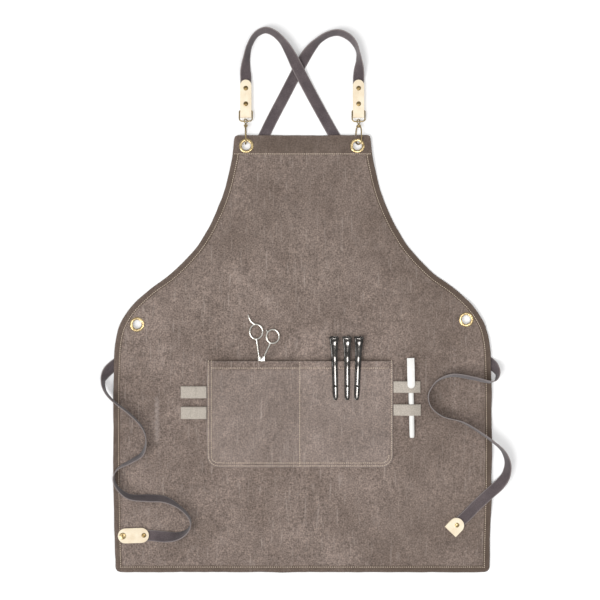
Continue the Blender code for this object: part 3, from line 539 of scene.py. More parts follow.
def canvas_material():
    """Washed taupe canvas: mottled, with pale rubbed streaks, flecked threads, darker folded hems and the
    painted shadow above the pocket mouth.
    """
    nodes = Nodes("washed_canvas", 0.92, specular=0.2)
    blotch = nodes.noise(9, 5, 0.65)
    base = nodes.ramp(blotch, ((0.28, (0.152, 0.115, 0.096)), (0.5, (0.200, 0.156, 0.134)),
                               (0.74, (0.260, 0.205, 0.178))))
    fleck = nodes.stretched_noise(640, (1, 0.42, 1), 4)
    cross = nodes.stretched_noise(640, (0.42, 1, 1), 4)
    crossed = nodes.math("ADD", nodes.math("MULTIPLY", fleck, 0.5), nodes.math("MULTIPLY", cross, 0.5))
    threads = nodes.ramp(crossed, ((0.38, (0.48, 0.47, 0.46)), (0.5, (1, 1, 1)), (0.63, (1.66, 1.64, 1.61))))
    colour = nodes.mix(0.85, base, threads, "MULTIPLY")
    clumps = nodes.ramp(nodes.noise(70, 8, 0.75), ((0.35, (0.80, 0.79, 0.79)), (0.66, (1.20, 1.19, 1.18))))
    colour = nodes.mix(0.75, colour, clumps, "MULTIPLY")
    rubbed = nodes.ramp(nodes.noise(38, 6, 0.72), ((0.56, (0, 0, 0)), (0.74, (1, 1, 1))))
    colour = nodes.mix(nodes.math("MULTIPLY", rubbed, 0.30), colour, (0.38, 0.315, 0.28))
    for turn, amount in ((0.6, 0.34), (-0.9, 0.28), (2.2, 0.26)):
        turned_place = nodes.node("ShaderNodeMapping", {"Vector": nodes.place, "Rotation": (0, 0, turn),
                                                        "Scale": (1, 0.09, 1)}).outputs["Vector"]
        streaks = nodes.node("ShaderNodeTexNoise", {"Vector": turned_place, "Scale": 210.0, "Detail": 3.0,
                                                    "Distortion": 0.4}).outputs["Fac"]
        lines = nodes.ramp(streaks, ((0.63, (0, 0, 0)), (0.72, (1, 1, 1))))
        colour = nodes.mix(nodes.math("MULTIPLY", lines, amount), colour, (0.44, 0.37, 0.33))
    tone = nodes.attribute("tone")
    # The tone darkens the hems and bib band and paints the shadow above the pocket mouth; below zero it pales
    # the rubbed edges and creases.
    colour = nodes.mix(nodes.math("MAXIMUM", tone, 0.0), colour, (0.095, 0.068, 0.052))
    pale = nodes.math("MAXIMUM", nodes.math("MULTIPLY", tone, -1.0), 0.0)
    colour = nodes.mix(pale, colour, (0.42, 0.36, 0.335))
    nodes.colour(colour)
    nodes.rough(blotch, 0.86, 0.97)
    woven = weave(nodes, 0.9 * MM)
    nodes.bump(nodes.math("ADD", woven, nodes.math("MULTIPLY", fleck, 0.8)), 0.25 * MM, 0.8)
    nodes.shader.inputs["Sheen Weight"].default_value = 0.15
    return nodes.material


def webbing_material():
    """Purplish grey cotton webbing with fine crosswise ribs, and a painted highlight along its edges."""
    nodes = Nodes("webbing", 0.85, specular=0.25)
    ribs = nodes.attribute("rib")
    fleck = nodes.noise(700, 2)
    base = nodes.two_tone(nodes.noise(24, 4), (0.060, 0.046, 0.050), (0.122, 0.097, 0.101))
    flecked = nodes.ramp(fleck, ((0.35, (0.6, 0.6, 0.6)), (0.65, (1.4, 1.4, 1.4))))
    colour = nodes.mix(0.5, base, flecked, "MULTIPLY")
    # Painted highlight: the strap's narrow edges are made paler, as edges that catch the light.
    edge_highlight = nodes.math("MULTIPLY", nodes.math("POWER", nodes.attribute("edge_highlight"), 4.0), 0.62)
    colour = nodes.mix(edge_highlight, colour, (0.31, 0.27, 0.26))
    nodes.colour(colour)
    wave = nodes.math("SINE", nodes.math("MULTIPLY", ribs, 2 * math.pi / (1.5 * MM)))
    nodes.bump(nodes.math("ADD", wave, fleck), 0.22 * MM, 0.7)
    nodes.shader.inputs["Sheen Weight"].default_value = 0.3
    return nodes.material


def elastic_material():
    """Pale woven elastic."""
    nodes = Nodes("woven_elastic", 0.85, specular=0.3)
    fleck = nodes.noise(600, 3)
    nodes.colour(nodes.two_tone(fleck, (0.33, 0.295, 0.255), (0.54, 0.485, 0.42)))
    nodes.bump(nodes.math("ADD", weave(nodes, 1.1 * MM, 0.3), fleck), 0.2 * MM, 0.8)
    return nodes.material


def thread_material():
    """Tan sewing thread."""
    nodes = Nodes("tan_thread", 0.7)
    nodes.colour(nodes.two_tone(nodes.noise(400, 2), (0.50, 0.40, 0.30), (0.78, 0.66, 0.53)))
    nodes.bump(nodes.noise(2500, 2), 0.1 * MM)
    return nodes.material


def leather_material():
    """Natural vegetable-tanned leather: cream, with faint grain and pores."""
    nodes = Nodes("natural_leather", 0.5, specular=0.4)
    cloud = nodes.noise(45, 5)
    colour = nodes.two_tone(cloud, (0.74, 0.61, 0.43), (0.88, 0.79, 0.62))
    pores = nodes.node("ShaderNodeTexVoronoi", {"Vector": nodes.place, "Scale": 1100.0}).outputs["Distance"]
    pitted = nodes.ramp(pores, ((0.1, (0.72, 0.68, 0.6)), (0.4, (1, 1, 1))))
    colour = nodes.mix(0.25, colour, pitted, "MULTIPLY")
    nodes.colour(colour)
    nodes.rough(cloud, 0.42, 0.62)
    nodes.bump(nodes.math("ADD", pores, nodes.noise(300, 4)), 0.15 * MM, 0.5)
    return nodes.material


def metal_material(name, dark, pale, low, high, worn=0.0):
    """A cast or rolled metal: tarnish in the colour, scuffs in the roughness, and a slight grain."""
    nodes = Nodes(name, low, metallic=1.0)
    cloud = nodes.noise(160, 5, 0.6)
    colour = nodes.ramp(cloud, ((0.32, dark), (0.68, pale)))
    if worn:
        edge = nodes.node("ShaderNodeNewGeometry", {}).outputs["Pointiness"]
        rubbed = nodes.ramp(edge, ((0.5, (0, 0, 0)), (0.56, (1, 1, 1))))
        colour = nodes.mix(nodes.math("MULTIPLY", rubbed, worn), colour, pale)
    nodes.colour(colour)
    nodes.rough(nodes.noise(420, 4), low, high)
    nodes.bump(nodes.noise(900, 3), 0.05 * MM, 0.35)
    return nodes.material


def gunmetal_material():
    """Gloss black nickel, a little uneven."""
    nodes = Nodes("gloss_gunmetal", 0.15, metallic=1.0)
    nodes.colour(nodes.two_tone(nodes.noise(90, 3), (0.050, 0.047, 0.044), (0.105, 0.098, 0.092)))
    nodes.rough(nodes.noise(500, 3), 0.09, 0.15)
    nodes.bump(nodes.noise(350, 2), 0.02 * MM, 0.03)
    return nodes.material


def vent_shade_material():
    """Painted shade: a near-black colour for the shade inside a clip's vent."""
    nodes = Nodes("vent_painted_shade", 0.8)
    nodes.colour(nodes.two_tone(nodes.noise(300), (0.003, 0.003, 0.003), (0.006, 0.006, 0.006)))
    return nodes.material


def white_plastic_material():
    """Glossy white plastic, slightly scuffed."""
    nodes = Nodes("white_plastic", 0.3)
    nodes.colour(nodes.two_tone(nodes.noise(60, 3), (0.72, 0.71, 0.68), (0.80, 0.79, 0.77)))
    nodes.rough(nodes.noise(700, 3), 0.24, 0.4)
    nodes.bump(nodes.noise(1500, 2), 0.04 * MM, 0.3)
    return nodes.material


FINISH = {
    "canvas": canvas_material(), "webbing": webbing_material(), "elastic": elastic_material(),
    "thread": thread_material(), "leather": leather_material(),
    "brass": metal_material("antique_brass", (0.17, 0.115, 0.05), (0.72, 0.56, 0.30), 0.2, 0.42, 0.6),
    "old_brass": metal_material("old_brass", (0.075, 0.052, 0.024), (0.46, 0.35, 0.18), 0.2, 0.4, 0.6),
    "dark_brass": metal_material("dark_brass", (0.075, 0.05, 0.022), (0.33, 0.23, 0.10), 0.25, 0.45, 0.5),
    "steel": metal_material("satin_steel", (0.62, 0.60, 0.54), (0.86, 0.84, 0.78), 0.22, 0.4),
    "gunmetal": gunmetal_material(), "vent": vent_shade_material(), "white_plastic": white_plastic_material(),
}


# ---------------------------------------------------------------- camera, light and floor

def make_camera():
    """A camera that looks straight down and frames VIEW_WIDTH of the table."""
    data = bpy.data.cameras.new("camera")
    data.lens = LENS
    data.sensor_width = SENSOR
    camera = bpy.data.objects.new("camera", data)
    bpy.context.collection.objects.link(camera)
    camera.location = (*VIEW_CENTRE, PANEL_TOP + CAMERA_HEIGHT)
    bpy.context.scene.camera = camera


def add_lamp(name, data, place, direction):
    """Puts a light in the scene, shining along a direction."""
    lamp = bpy.data.objects.new(name, data)
    bpy.context.collection.objects.link(lamp)
    lamp.location = place
    lamp.rotation_euler = Vector(direction).to_track_quat("-Z", "Y").to_euler()


def make_light(name, place, size, power):
    """A long softbox that faces the middle of the table."""
    data = bpy.data.lights.new(name, "AREA")
    data.shape = "RECTANGLE"
    data.size, data.size_y = size
    data.energy = power
    add_lamp(name, data, place, -Vector(place))


def make_sun(direction, width, strength):
    """A very wide soft key that falls evenly over the table."""
    data = bpy.data.lights.new("key", "SUN")
    data.angle = math.radians(width)
    data.energy = strength
    add_lamp("key", data, (0, 0, 0), direction)


def make_stage():
    """A white table, an even white surround, a soft key from the lower left and three softboxes."""
    world = bpy.data.worlds.new("studio")
    world.use_nodes = True
    world.node_tree.nodes["Background"].inputs["Color"].default_value = (1, 1, 1, 1)
    world.node_tree.nodes["Background"].inputs["Strength"].default_value = SURROUND
    bpy.context.scene.world = world
    bpy.context.scene.view_settings.view_transform = "Standard"
    nodes = Nodes("white_table", 0.9, specular=0.1)
    nodes.colour(nodes.two_tone(nodes.noise(3), (0.95, 0.95, 0.95), (0.97, 0.97, 0.97)))
    bm = bmesh.new()
    bmesh.ops.create_grid(bm, x_segments=8, y_segments=8, size=TABLE_REACH)
    table = bmesh_object("table", bm, nodes.material)
    make_sun(*KEY)
    for name, light in SOFTBOXES.items():
        make_light(name, *light)


make_camera()
make_stage()


# ---------------------------------------------------------------- canvas panel and pocket

def panel_outline():
    """The apron's plan: straight bib and hem, and one smooth line down each side."""
    side = smooth_route([(x * MM, y * MM, 0) for x, y in SIDE_KNOTS], 6)
    side = [(point.x, point.y) for point in side]
    top = arc((side[0][0] - BIB_CORNER - 1 * MM, BIB_Y - BIB_CORNER), BIB_CORNER, 90, 10, 4)
    low = arc((side[-1][0] - HEM_CORNER, HEM_Y + HEM_CORNER), HEM_CORNER, 0, -90, 5)
    right = top + side + low
    return np.array(right + [(-x, y) for x, y in reversed(right)])


def ruffled(outline, amount, seed):
    """An outline whose edge wanders a little, as a sewn hem does."""
    outline = even_points(outline, 3 * MM, closed=True)
    shift = 0.5 * soft_noise(outline, 22.0, seed) + 0.35 * soft_noise(outline, 60.0, seed + 3)
    inner = inward(outline, 1.0 * MM) - outline
    return outline + inner / MM * (amount * (0.55 + shift))[:, None]


def grommet_holes(radius):
    """A round hole for each grommet, as closed plan outlines."""
    return [arc((x * MM, y * MM), radius, 0, 348, 29) for x, y in GROMMETS.values()]


def held_share(places):
    """1 where something holds the cloth up off the table, falling to 0 beside it."""
    held = np.zeros(len(places))
    for x, y, reach in HELD_UP:
        away = np.linalg.norm(places - (x * MM, y * MM), axis=1) / (reach * MM)
        held = np.maximum(held, smooth_step(1.9 - 1.25 * away))
    return held


def along_crease(y, low_y, high_y):
    """1 along a crease, fading out at its ends."""
    return rise(y - low_y, 18 * MM) * rise(high_y - y, 18 * MM)


def panel_height(places, edge):
    """The cloth's top: flat under its pieces, soft waves elsewhere, sinking to the table at its edges."""
    held = held_share(places)
    sunk = 1 - smooth_step(edge / EDGE_FALL)
    top = PANEL_TOP - (1 - held) * sunk * (PANEL_TOP - CLOTH_REST)
    free = (1 - held) * smooth_step(edge / (30 * MM))
    x, y = places[:, 0], places[:, 1]
    under_pocket = rise(POCKET_RIGHT + 22 * MM - x, 20 * MM)
    under_pocket *= rise(x - POCKET_LEFT + 22 * MM, 20 * MM)
    under_pocket *= rise(y - POCKET_LOW + 18 * MM, 20 * MM)
    under_pocket *= rise(POCKET_MOUTH + 70 * MM - y, 20 * MM)
    free = free * (1 - under_pocket)
    for band_x, band_y in LOOP_PLACES:
        away = np.hypot(x - band_x, y - band_y)
        free = free * rise(away - 30 * MM, 25 * MM)
    waves = 0.9 * soft_noise(places, 7.0, 1.5) + 0.45 * soft_noise(places, 19.0, 4.2)
    top = top + free * WAVE * (waves - 0.55)
    for crease_x, low_y, high_y, wide, tall in CREASES:
        top = top + free * along_crease(y, low_y, high_y) * tall * bell(x - crease_x, wide)
    hem = step_at(HEM_WIDTH - edge)
    below_bib = y < BIB_Y - 3 * MM
    pucker = 0.10 * MM * soft_noise(places, 95.0, 7.7) * rise(22 * MM - edge, 22 * MM)
    band = step_at(y - (BIB_Y - BAND_WIDTH))
    double = np.maximum(hem * below_bib, band)
    top = np.maximum(top, CLOTH_REST + smooth_step(edge / EDGE_FALL) * OVER_STRAP)
    stitch_row = bell(edge - HEM_WIDTH + HEM_SEAM, 1.1 * MM) * below_bib * (1 - band)
    band_row = bell(y - BIB_Y + BAND_WIDTH - HEM_SEAM, 1.1 * MM)
    lift = HEM_STEP * double - 0.45 * HEM_STEP * np.maximum(stitch_row, band_row)
    ceiling = PANEL_TOP + 0.15 * MM + 3 * MM * (1 - held)
    return np.minimum(top + (lift + pucker) * (1 - 0.8 * held), ceiling)


def panel_tone(places, edge):
    """Darker hems and bib band, a painted shadow along the pocket mouth; paler rubbed lines on the creases
    and the cut edge.
    """
    x, y = places[:, 0], places[:, 1]
    hem = step_at(HEM_WIDTH - edge)
    band = step_at(y - (BIB_Y - BAND_WIDTH))
    mottle = 0.5 + 0.5 * soft_noise(places, 60.0, 2.2)
    tone = np.maximum(0.76 * hem * (1 - band), 0.55 * band) * (0.65 + 0.5 * mottle)
    tone = tone - 0.32 * bell(edge - RUB_IN, RUB_WIDTH) * mottle
    tone = tone + 0.24 * rise(x - 60 * MM, 180 * MM)
    tone = tone + 0.15 * rise(y - 60 * MM, 160 * MM)
    for crease_x, low_y, high_y, wide, tall in CREASES:
        tone = tone - 0.6 * along_crease(y, low_y, high_y) * bell(x - crease_x, 0.4 * wide)
    # Painted shadow: a dark line on the panel just above the pocket mouth, standing in for the shade that the
    # mouth casts.
    mouth_shadow_span = rise(x - POCKET_LEFT, 6 * MM) * rise(POCKET_RIGHT - x, 6 * MM)
    return tone + 0.9 * mouth_shadow_span * bell(y - POCKET_MOUTH - 1.5 * MM, 3.2 * MM)


def pocket_outline(inset=0.0):
    """The pocket's plan, open at the mouth, with round lower corners."""
    low, corner = POCKET_LOW + inset, POCKET_CORNER - inset
    left, right = POCKET_LEFT + inset, POCKET_RIGHT - inset
    points = [(left, POCKET_MOUTH)] + arc((left + corner, low + corner), corner, 180, 270, 8)
    points += arc((right - corner, low + corner), corner, 270, 360, 8) + [(right, POCKET_MOUTH)]
    return np.array(points)


def pocket_seam_gap(x, y):
    """How far in from the pocket's three sewn sides a place is."""
    return np.minimum.reduce([x - POCKET_LEFT, POCKET_RIGHT - x, y - POCKET_LOW])


def pocket_height(places, edge):
    """The pocket's cloth: sewn down at its sides, floor and divider, lifted by the tools between."""
    x, y = places[:, 0], places[:, 1]
    seam_gap = pocket_seam_gap(x, y)
    off_seam = rise(seam_gap - 7.0 * MM, 16 * MM)
    off_divider = rise(np.abs(x - POCKET_DIVIDER) - 1.5 * MM, 13 * MM)
    room = POCKET_FACE - POCKET_SEAT
    full = off_seam * off_divider
    near_mouth = rise(y - POCKET_LOW, 150 * MM)
    fullness = np.zeros(len(places))
    for tool_x, wide, low_y in TOOLS_IN_POCKET:
        across = smooth_step(1.6 - np.abs(x - tool_x) / wide)
        fullness = np.maximum(fullness, across * rise(y - low_y, 35 * MM))
    slack = 0.16 + 0.42 * near_mouth
    lift = room * full * np.maximum(fullness, slack)
    waves = 0.5 * MM * soft_noise(places, 16.0, 9.1) * full * (1 - fullness)
    hem = step_at(y - POCKET_MOUTH + POCKET_HEM) * (1 - fullness)
    turned_under = step_at(8.0 * MM - seam_gap)
    row = sum(bell(seam_gap - inset, 0.9 * MM) for inset in POCKET_SEAMS)
    top = POCKET_SEAT + lift + waves + 0.35 * MM * (hem + turned_under) - 0.22 * MM * row
    return np.minimum(top, POCKET_FACE)


def pocket_tone(places, edge):
    """Darker at the mouth's hem and between the seams; paler at the cut edge and over all."""
    x, y = places[:, 0], places[:, 1]
    seam_gap = pocket_seam_gap(x, y)
    mottle = 0.5 + 0.5 * soft_noise(places, 60.0, 5.2)
    ridge = bell(edge - RUB_IN, RUB_WIDTH)
    hem = step_at(y - POCKET_MOUTH + POCKET_HEM)
    rows = bell(seam_gap - 5.3 * MM, 2.2 * MM)
    return 0.14 * hem + 0.10 * rows * mottle - 0.30 * ridge * mottle - 0.13


# ---------------------------------------------------------------- straps

def strap_stance(route, steps):
    """Centre points and lean angles along a strap's route."""
    plan = smooth_route([(x * MM, y * MM) for x, y, _, _ in route], steps)
    stance = smooth_route([(index, rest, lean) for index, (_, _, rest, lean) in enumerate(route)], steps)
    points, leans = [], []
    for place, (_, rest, lean) in zip(plan, stance):
        lean = math.radians(lean)
        lift = (WEB_WIDTH * abs(math.sin(lean)) + WEB_THICK * abs(math.cos(lean))) / 2
        points.append(Vector((place.x, place.y, max(rest, LOWEST_REST) * MM + lift)))
        leans.append(lean)
    return points, leans


def make_strap(side, route):
    """Woven webbing: rounded selvedges, faintly cupped, along the route."""
    points, leans = strap_stance(route, WEB_STEPS)
    half, thin = WEB_WIDTH / 2, WEB_THICK / 2
    face = [(-half + 0.5 * MM, thin), (-half * 0.6, 0.86 * thin), (0, 0.8 * thin), (half * 0.6, 0.86 * thin),
            (half - 0.5 * MM, thin)]
    section = face + [(half, 0.5 * thin), (half, -0.5 * thin)] + [(a, -b) for a, b in reversed(face)]
    section += [(-half, -0.5 * thin), (-half, 0.5 * thin)]
    verts, ribs = [], []
    run = 0.0
    last = len(points) - 1
    for index, point in enumerate(points):
        along = points[min(index + 1, last)] - points[max(index - 1, 0)]
        along.z = 0
        left = Vector((-along.y, along.x, 0)).normalized()
        across = math.cos(leans[index]) * left + math.sin(leans[index]) * Vector((0, 0, 1))
        up = math.cos(leans[index]) * Vector((0, 0, 1)) - math.sin(leans[index]) * left
        run += (point - points[max(index - 1, 0)]).length
        verts += [tuple(point + a * across + b * up) for a, b in section]
        ribs += [run] * len(section)
    mesh = new_mesh("webbing_" + side, verts, tube_faces(len(points), len(section)))
    mesh.attributes.new("rib", "FLOAT", "POINT").data.foreach_set("value", ribs)
    # Marks the points along the strap's edges that get the painted highlight.
    highlight_rims = [float(abs(a) > EDGE_HIGHLIGHT_FROM * half) for a, _ in section] * len(points)
    mesh.attributes.new("edge_highlight", "FLOAT", "POINT").data.foreach_set("value", highlight_rims)
    strap = add_object("webbing_" + side, mesh, FINISH["webbing"])
    settle(strap, "apron", "strap_" + side)
    return strap, points, run


for side, route in (("left", STRAP_LEFT), ("right", STRAP_RIGHT)):
    make_strap(side, route)


def make_canvas():
    """The panel with its grommet holes, and the pocket, each with rows of points along its seams."""
    panel = cloth_piece("canvas_panel", ruffled(panel_outline(), 1.4 * MM, 3.3), grommet_holes(PANEL_HOLE),
                        PANEL_ROWS, 6.0 * MM, panel_height, panel_tone, CLOTH, FINISH["canvas"])
    pocket = cloth_piece("canvas_pocket", pocket_outline(), [], POCKET_ROWS, 4.5 * MM,
                         pocket_height, pocket_tone, 1.0 * MM, FINISH["canvas"])
    return settle(panel, "apron", "body_panel"), settle(pocket, "apron", "pocket")


def panel_top_at(places):
    """The panel's top at any plan place, for what is sewn on it."""
    edge = edge_distance(places, even_points(panel_outline(), 5 * MM, closed=True))
    return panel_height(places, edge)


def pocket_top_at(places):
    """The pocket's top at any plan place."""
    return pocket_height(places, edge_distance(places, even_points(pocket_outline(), 4 * MM, closed=True)))


def make_stitching():
    """Tan lockstitch: the hems and bib band on the panel, and double rows round the pocket."""
    outline = even_points(panel_outline(), 2 * MM, closed=True)
    hem = inward(outline, HEM_WIDTH - HEM_SEAM)
    hem = hem[(edge_distance(hem, outline) > HEM_WIDTH - 2.0 * MM) & (hem[:, 1] < BIB_Y - BAND_WIDTH)]
    left, right = hem[hem[:, 0] < 0], hem[hem[:, 0] >= 0]
    sides = [points[np.argsort(np.arctan2(points[:, 1], points[:, 0] * side))]
             for points, side in ((left, -1), (right, 1))]
    band_y = BIB_Y - BAND_WIDTH + HEM_SEAM
    lines = sides + [[(-BAND_REACH, band_y), (BAND_REACH, band_y)]]
    panel_rows = stitches("panel_stitches", lines, panel_top_at, FINISH["thread"])
    rows = []
    for inset in POCKET_SEAMS:
        row = pocket_outline(inset)
        rows.append(row[:-1] if inset > 5 * MM else row)
    mouth_y = POCKET_MOUTH - POCKET_HEM + HEM_SEAM
    rows.append([(POCKET_LEFT + 9 * MM, mouth_y), (POCKET_RIGHT - 9 * MM, mouth_y)])
    rows.append([(POCKET_DIVIDER, POCKET_MOUTH - 3 * MM), (POCKET_DIVIDER, POCKET_LOW + 3 * MM)])
    pocket_rows = stitches("pocket_stitches", rows, pocket_top_at, FINISH["thread"])
    return settle(panel_rows, "apron"), settle(pocket_rows, "apron")


def make_loop(name, outer, sewn, top, bottom, crown, arch_x):
    """An elastic band doubled back on itself: flat beneath, and arched to its crown height."""
    side = 1 if outer > sewn else -1
    low = PANEL_TOP + 0.95 * MM
    outer, sewn = outer * MM - side * 0.9 * MM, sewn * MM + side * 0.3 * MM
    path = [(sewn, low), (0.5 * (sewn + outer), low), (outer - side * 3 * MM, low),
            (outer, low + 1.1 * MM), (outer - side * 3.5 * MM, low + 2.5 * MM)]
    path += [(arch_x * MM + side * 6.5 * MM, crown - 1.2 * MM), (arch_x * MM, crown),
             (arch_x * MM - side * 6.5 * MM, crown - 1.2 * MM), (sewn + side * 5 * MM, low + 2.6 * MM),
             (sewn, low + 1.7 * MM)]
    path = [(point.x, point.y) for point in smooth_route([(x, z, 0) for x, z in path], 6)]
    rows = [bottom * MM + (top - bottom) * MM * step / 8 for step in range(9)]
    verts = []
    for x, z in path:
        for y in rows:
            crown_bow = 0.35 * MM * math.sin(math.pi * (y - rows[0]) / (rows[-1] - rows[0]))
            verts.append((x, y, z + crown_bow * (z > low + 1.5 * MM)))
    count = len(rows)
    faces = [(a * count + b, a * count + b + 1, (a + 1) * count + b + 1, (a + 1) * count + b)
             for a in range(len(path) - 1) for b in range(count - 1)]
    loop = add_object("elastic_" + name, new_mesh(name, verts, faces), FINISH["elastic"])
    thicken(loop, ELASTIC, 0)
    settle(loop, "apron", name)
    length = sum(math.dist(a, b) for a, b in zip(path, path[1:]))
    return loop, length, (top - bottom) * MM


def bevelled_copy(node, finish, body, width):
    """A CAD solid's shape again, with its edges rounded over by a width."""
    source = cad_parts[node]
    mesh = source.data.copy()
    mesh.transform(source.matrix_world)
    bm = bmesh.new()
    bm.from_mesh(mesh)
    bmesh.ops.remove_doubles(bm, verts=bm.verts, dist=0.001 * MM)
    bmesh.ops.dissolve_limit(bm, angle_limit=math.radians(2), verts=bm.verts, edges=bm.edges)
    bm.to_mesh(mesh)
    bm.free()
    obj = add_object(node + "_looks", mesh, FINISH[finish])
    bevel = obj.modifiers.new("bevel", "BEVEL")
    bevel.width = width
    bevel.segments = 3
    bevel.limit_method = "ANGLE"
    bevel.angle_limit = math.radians(35)
    bevel.use_clamp_overlap = True
    apply_modifiers(obj)
    obj.data.shade_smooth()
    obj.data.set_sharp_from_angle(angle=math.radians(40))
    return settle(obj, body, node)


panel, pocket = make_canvas()
panel_rows, pocket_rows = make_stitching()
loops = {name: make_loop(name, *sizes) for name, sizes in LOOPS.items()}
tabs = {node: bevelled_copy(node, "leather", "apron", LEATHER_EDGE)
        for node in ("tab_left", "tab_right", "tail_tab_left", "tail_tab_right")}


# ---------------------------------------------------------------- metal and plastic

def paint(finish, nodes):
    """Gives carried-over CAD solids their finish."""
    for node in nodes:
        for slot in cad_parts[node].material_slots:
            slot.material = finish


def join_rings(bm, rings, closed):
    """Skins rings of equal counts in turn, and caps the ends of an open run."""
    following = rings[1:] + rings[:1] if closed else rings[1:]
    for ring, after in zip(rings, following):
        for index in range(len(ring)):
            beside = (index + 1) % len(ring)
            bm.faces.new((ring[index], ring[beside], after[beside], after[index]))
    if not closed:
        bm.faces.new(rings[0][::-1])
        bm.faces.new(rings[-1])


def turned(profile, steps=40):
    """A closed (radius, height) profile in metres, turned about Z."""
    bm = bmesh.new()
    rings = []
    for radius, height in profile:
        if radius == 0:
            rings.append([bm.verts.new((0, 0, height))])
        else:
            circle = arc((0, 0), radius, 0, 360 - 360 / steps, steps - 1)
            rings.append([bm.verts.new((x, y, height)) for x, y in circle])
    for ring, following in zip(rings, rings[1:] + rings[:1]):
        for step in range(steps):
            after = (step + 1) % steps
            corners = [ring[step % len(ring)], ring[after % len(ring)]]
            corners += [following[after % len(following)], following[step % len(following)]]
            corners = list(dict.fromkeys(corners))
            if len(corners) > 2:
                bm.faces.new(corners)
    return bm


def wire(points, radii, normal, closed=False, sides=16):
    """A round wire along points that lie near the plane with this normal, with domed ends."""
    points = [Vector(point) for point in points]
    radii = list(radii) if isinstance(radii, (list, tuple)) else [radii] * len(points)
    if not closed:
        for end, beside in ((0, 1), (-1, -2)):
            out = (points[end] - points[beside]).normalized() * radii[end] * 0.12
            points.insert(0 if end == 0 else len(points), points[end] + out)
            radii.insert(0 if end == 0 else len(radii), radii[end] * 0.72)
    bm = bmesh.new()
    rings = []
    last = len(points) - 1
    for index, point in enumerate(points):
        before = points[index - 1] if closed or index else point
        after = points[(index + 1) % len(points)] if closed or index < last else point
        along = (after - before).normalized()
        side = along.cross(Vector(normal)).normalized()
        up = side.cross(along)
        ring = []
        for step in range(sides):
            angle = 2 * math.pi * step / sides
            ring.append(bm.verts.new(point + radii[index] * (math.cos(angle) * side + math.sin(angle) * up)))
        rings.append(ring)
    join_rings(bm, rings, closed)
    return bm


def piece(name, bm, finish, body, matrix, node=None):
    """A bmesh set in its place on its body, for a CAD solid where one is named."""
    bm.transform(matrix)
    return settle(bmesh_object(name, bm, FINISH[finish]), body, node)


def make_grommet(name, x, y):
    """A rolled eyelet set in the cloth, and the flat washer behind it."""
    seat = PANEL_TOP + GAP
    low = PANEL_LOW + BARREL_GAP
    rim = [(GROMMET_HOLE, low), (GROMMET_BARREL, low), (GROMMET_BARREL, seat), (GROMMET_RIM, seat)]
    middle = (GROMMET_HOLE + GROMMET_RIM) / 2
    rim += arc((middle, seat), (GROMMET_RIM - middle, ROLL_HEIGHT), 8, 172, 12)
    matrix = Matrix.Translation((x * MM, y * MM, 0))
    piece("grommet_" + name, turned(rim, 48), "brass", "apron", matrix, "eyelet_" + name)
    top = PANEL_LOW - GAP
    bore = GROMMET_BARREL + GAP
    low = top - WASHER_THICK
    flat = ((bore, low), (GROMMET_RIM, low), (GROMMET_RIM, top), (bore, top))
    piece("backing_" + name, turned(flat, 48), "brass", "apron", matrix, "washer_" + name)


def make_rivet(node, finish, head, back):
    """A domed rivet with a stepped rim, in its CAD solid's place."""
    low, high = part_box(node)
    x, y = (low[0] + high[0]) / 2, (low[1] + high[1]) / 2
    top = high[2] - RIVET_CAP
    seat = low[2] + RIVET_BACK_THICK
    step = top + RIVET_STEP
    profile = [(0, low[2]), (back, low[2]), (back, seat), (RIVET_POST, seat),
               (RIVET_POST, top), (head, top), (head, top + 0.35 * MM), (0.9 * head, step)]
    profile += arc((0, step), (0.86 * head, RIVET_DOME), 0, 80, 5)
    profile.append((0, high[2]))
    place = Matrix.Translation((x, y, 0))
    return piece(node + "_looks", turned(profile, 32), finish, "apron", place, node)


def hook_wire_path():
    """The hook's wire from its collar, round the bend and up the nose, as (0, -along, across)."""
    leg = smooth_route([(3.4, 7.4, 0), (4.5, 10.2, 0), (5.8, 13.2, 0), (6.5, 17.0, 0), (6.5, 25.0, 0)], 4)
    path = [(0, -point.y * MM, point.x * MM) for point in leg]
    for across, down in arc((0, 0), HOOK_REACH, 0, -180, 24):
        path.append((0, -HOOK_LENGTH + down, across))
    path.append((0, -22 * MM, -HOOK_REACH))
    return path


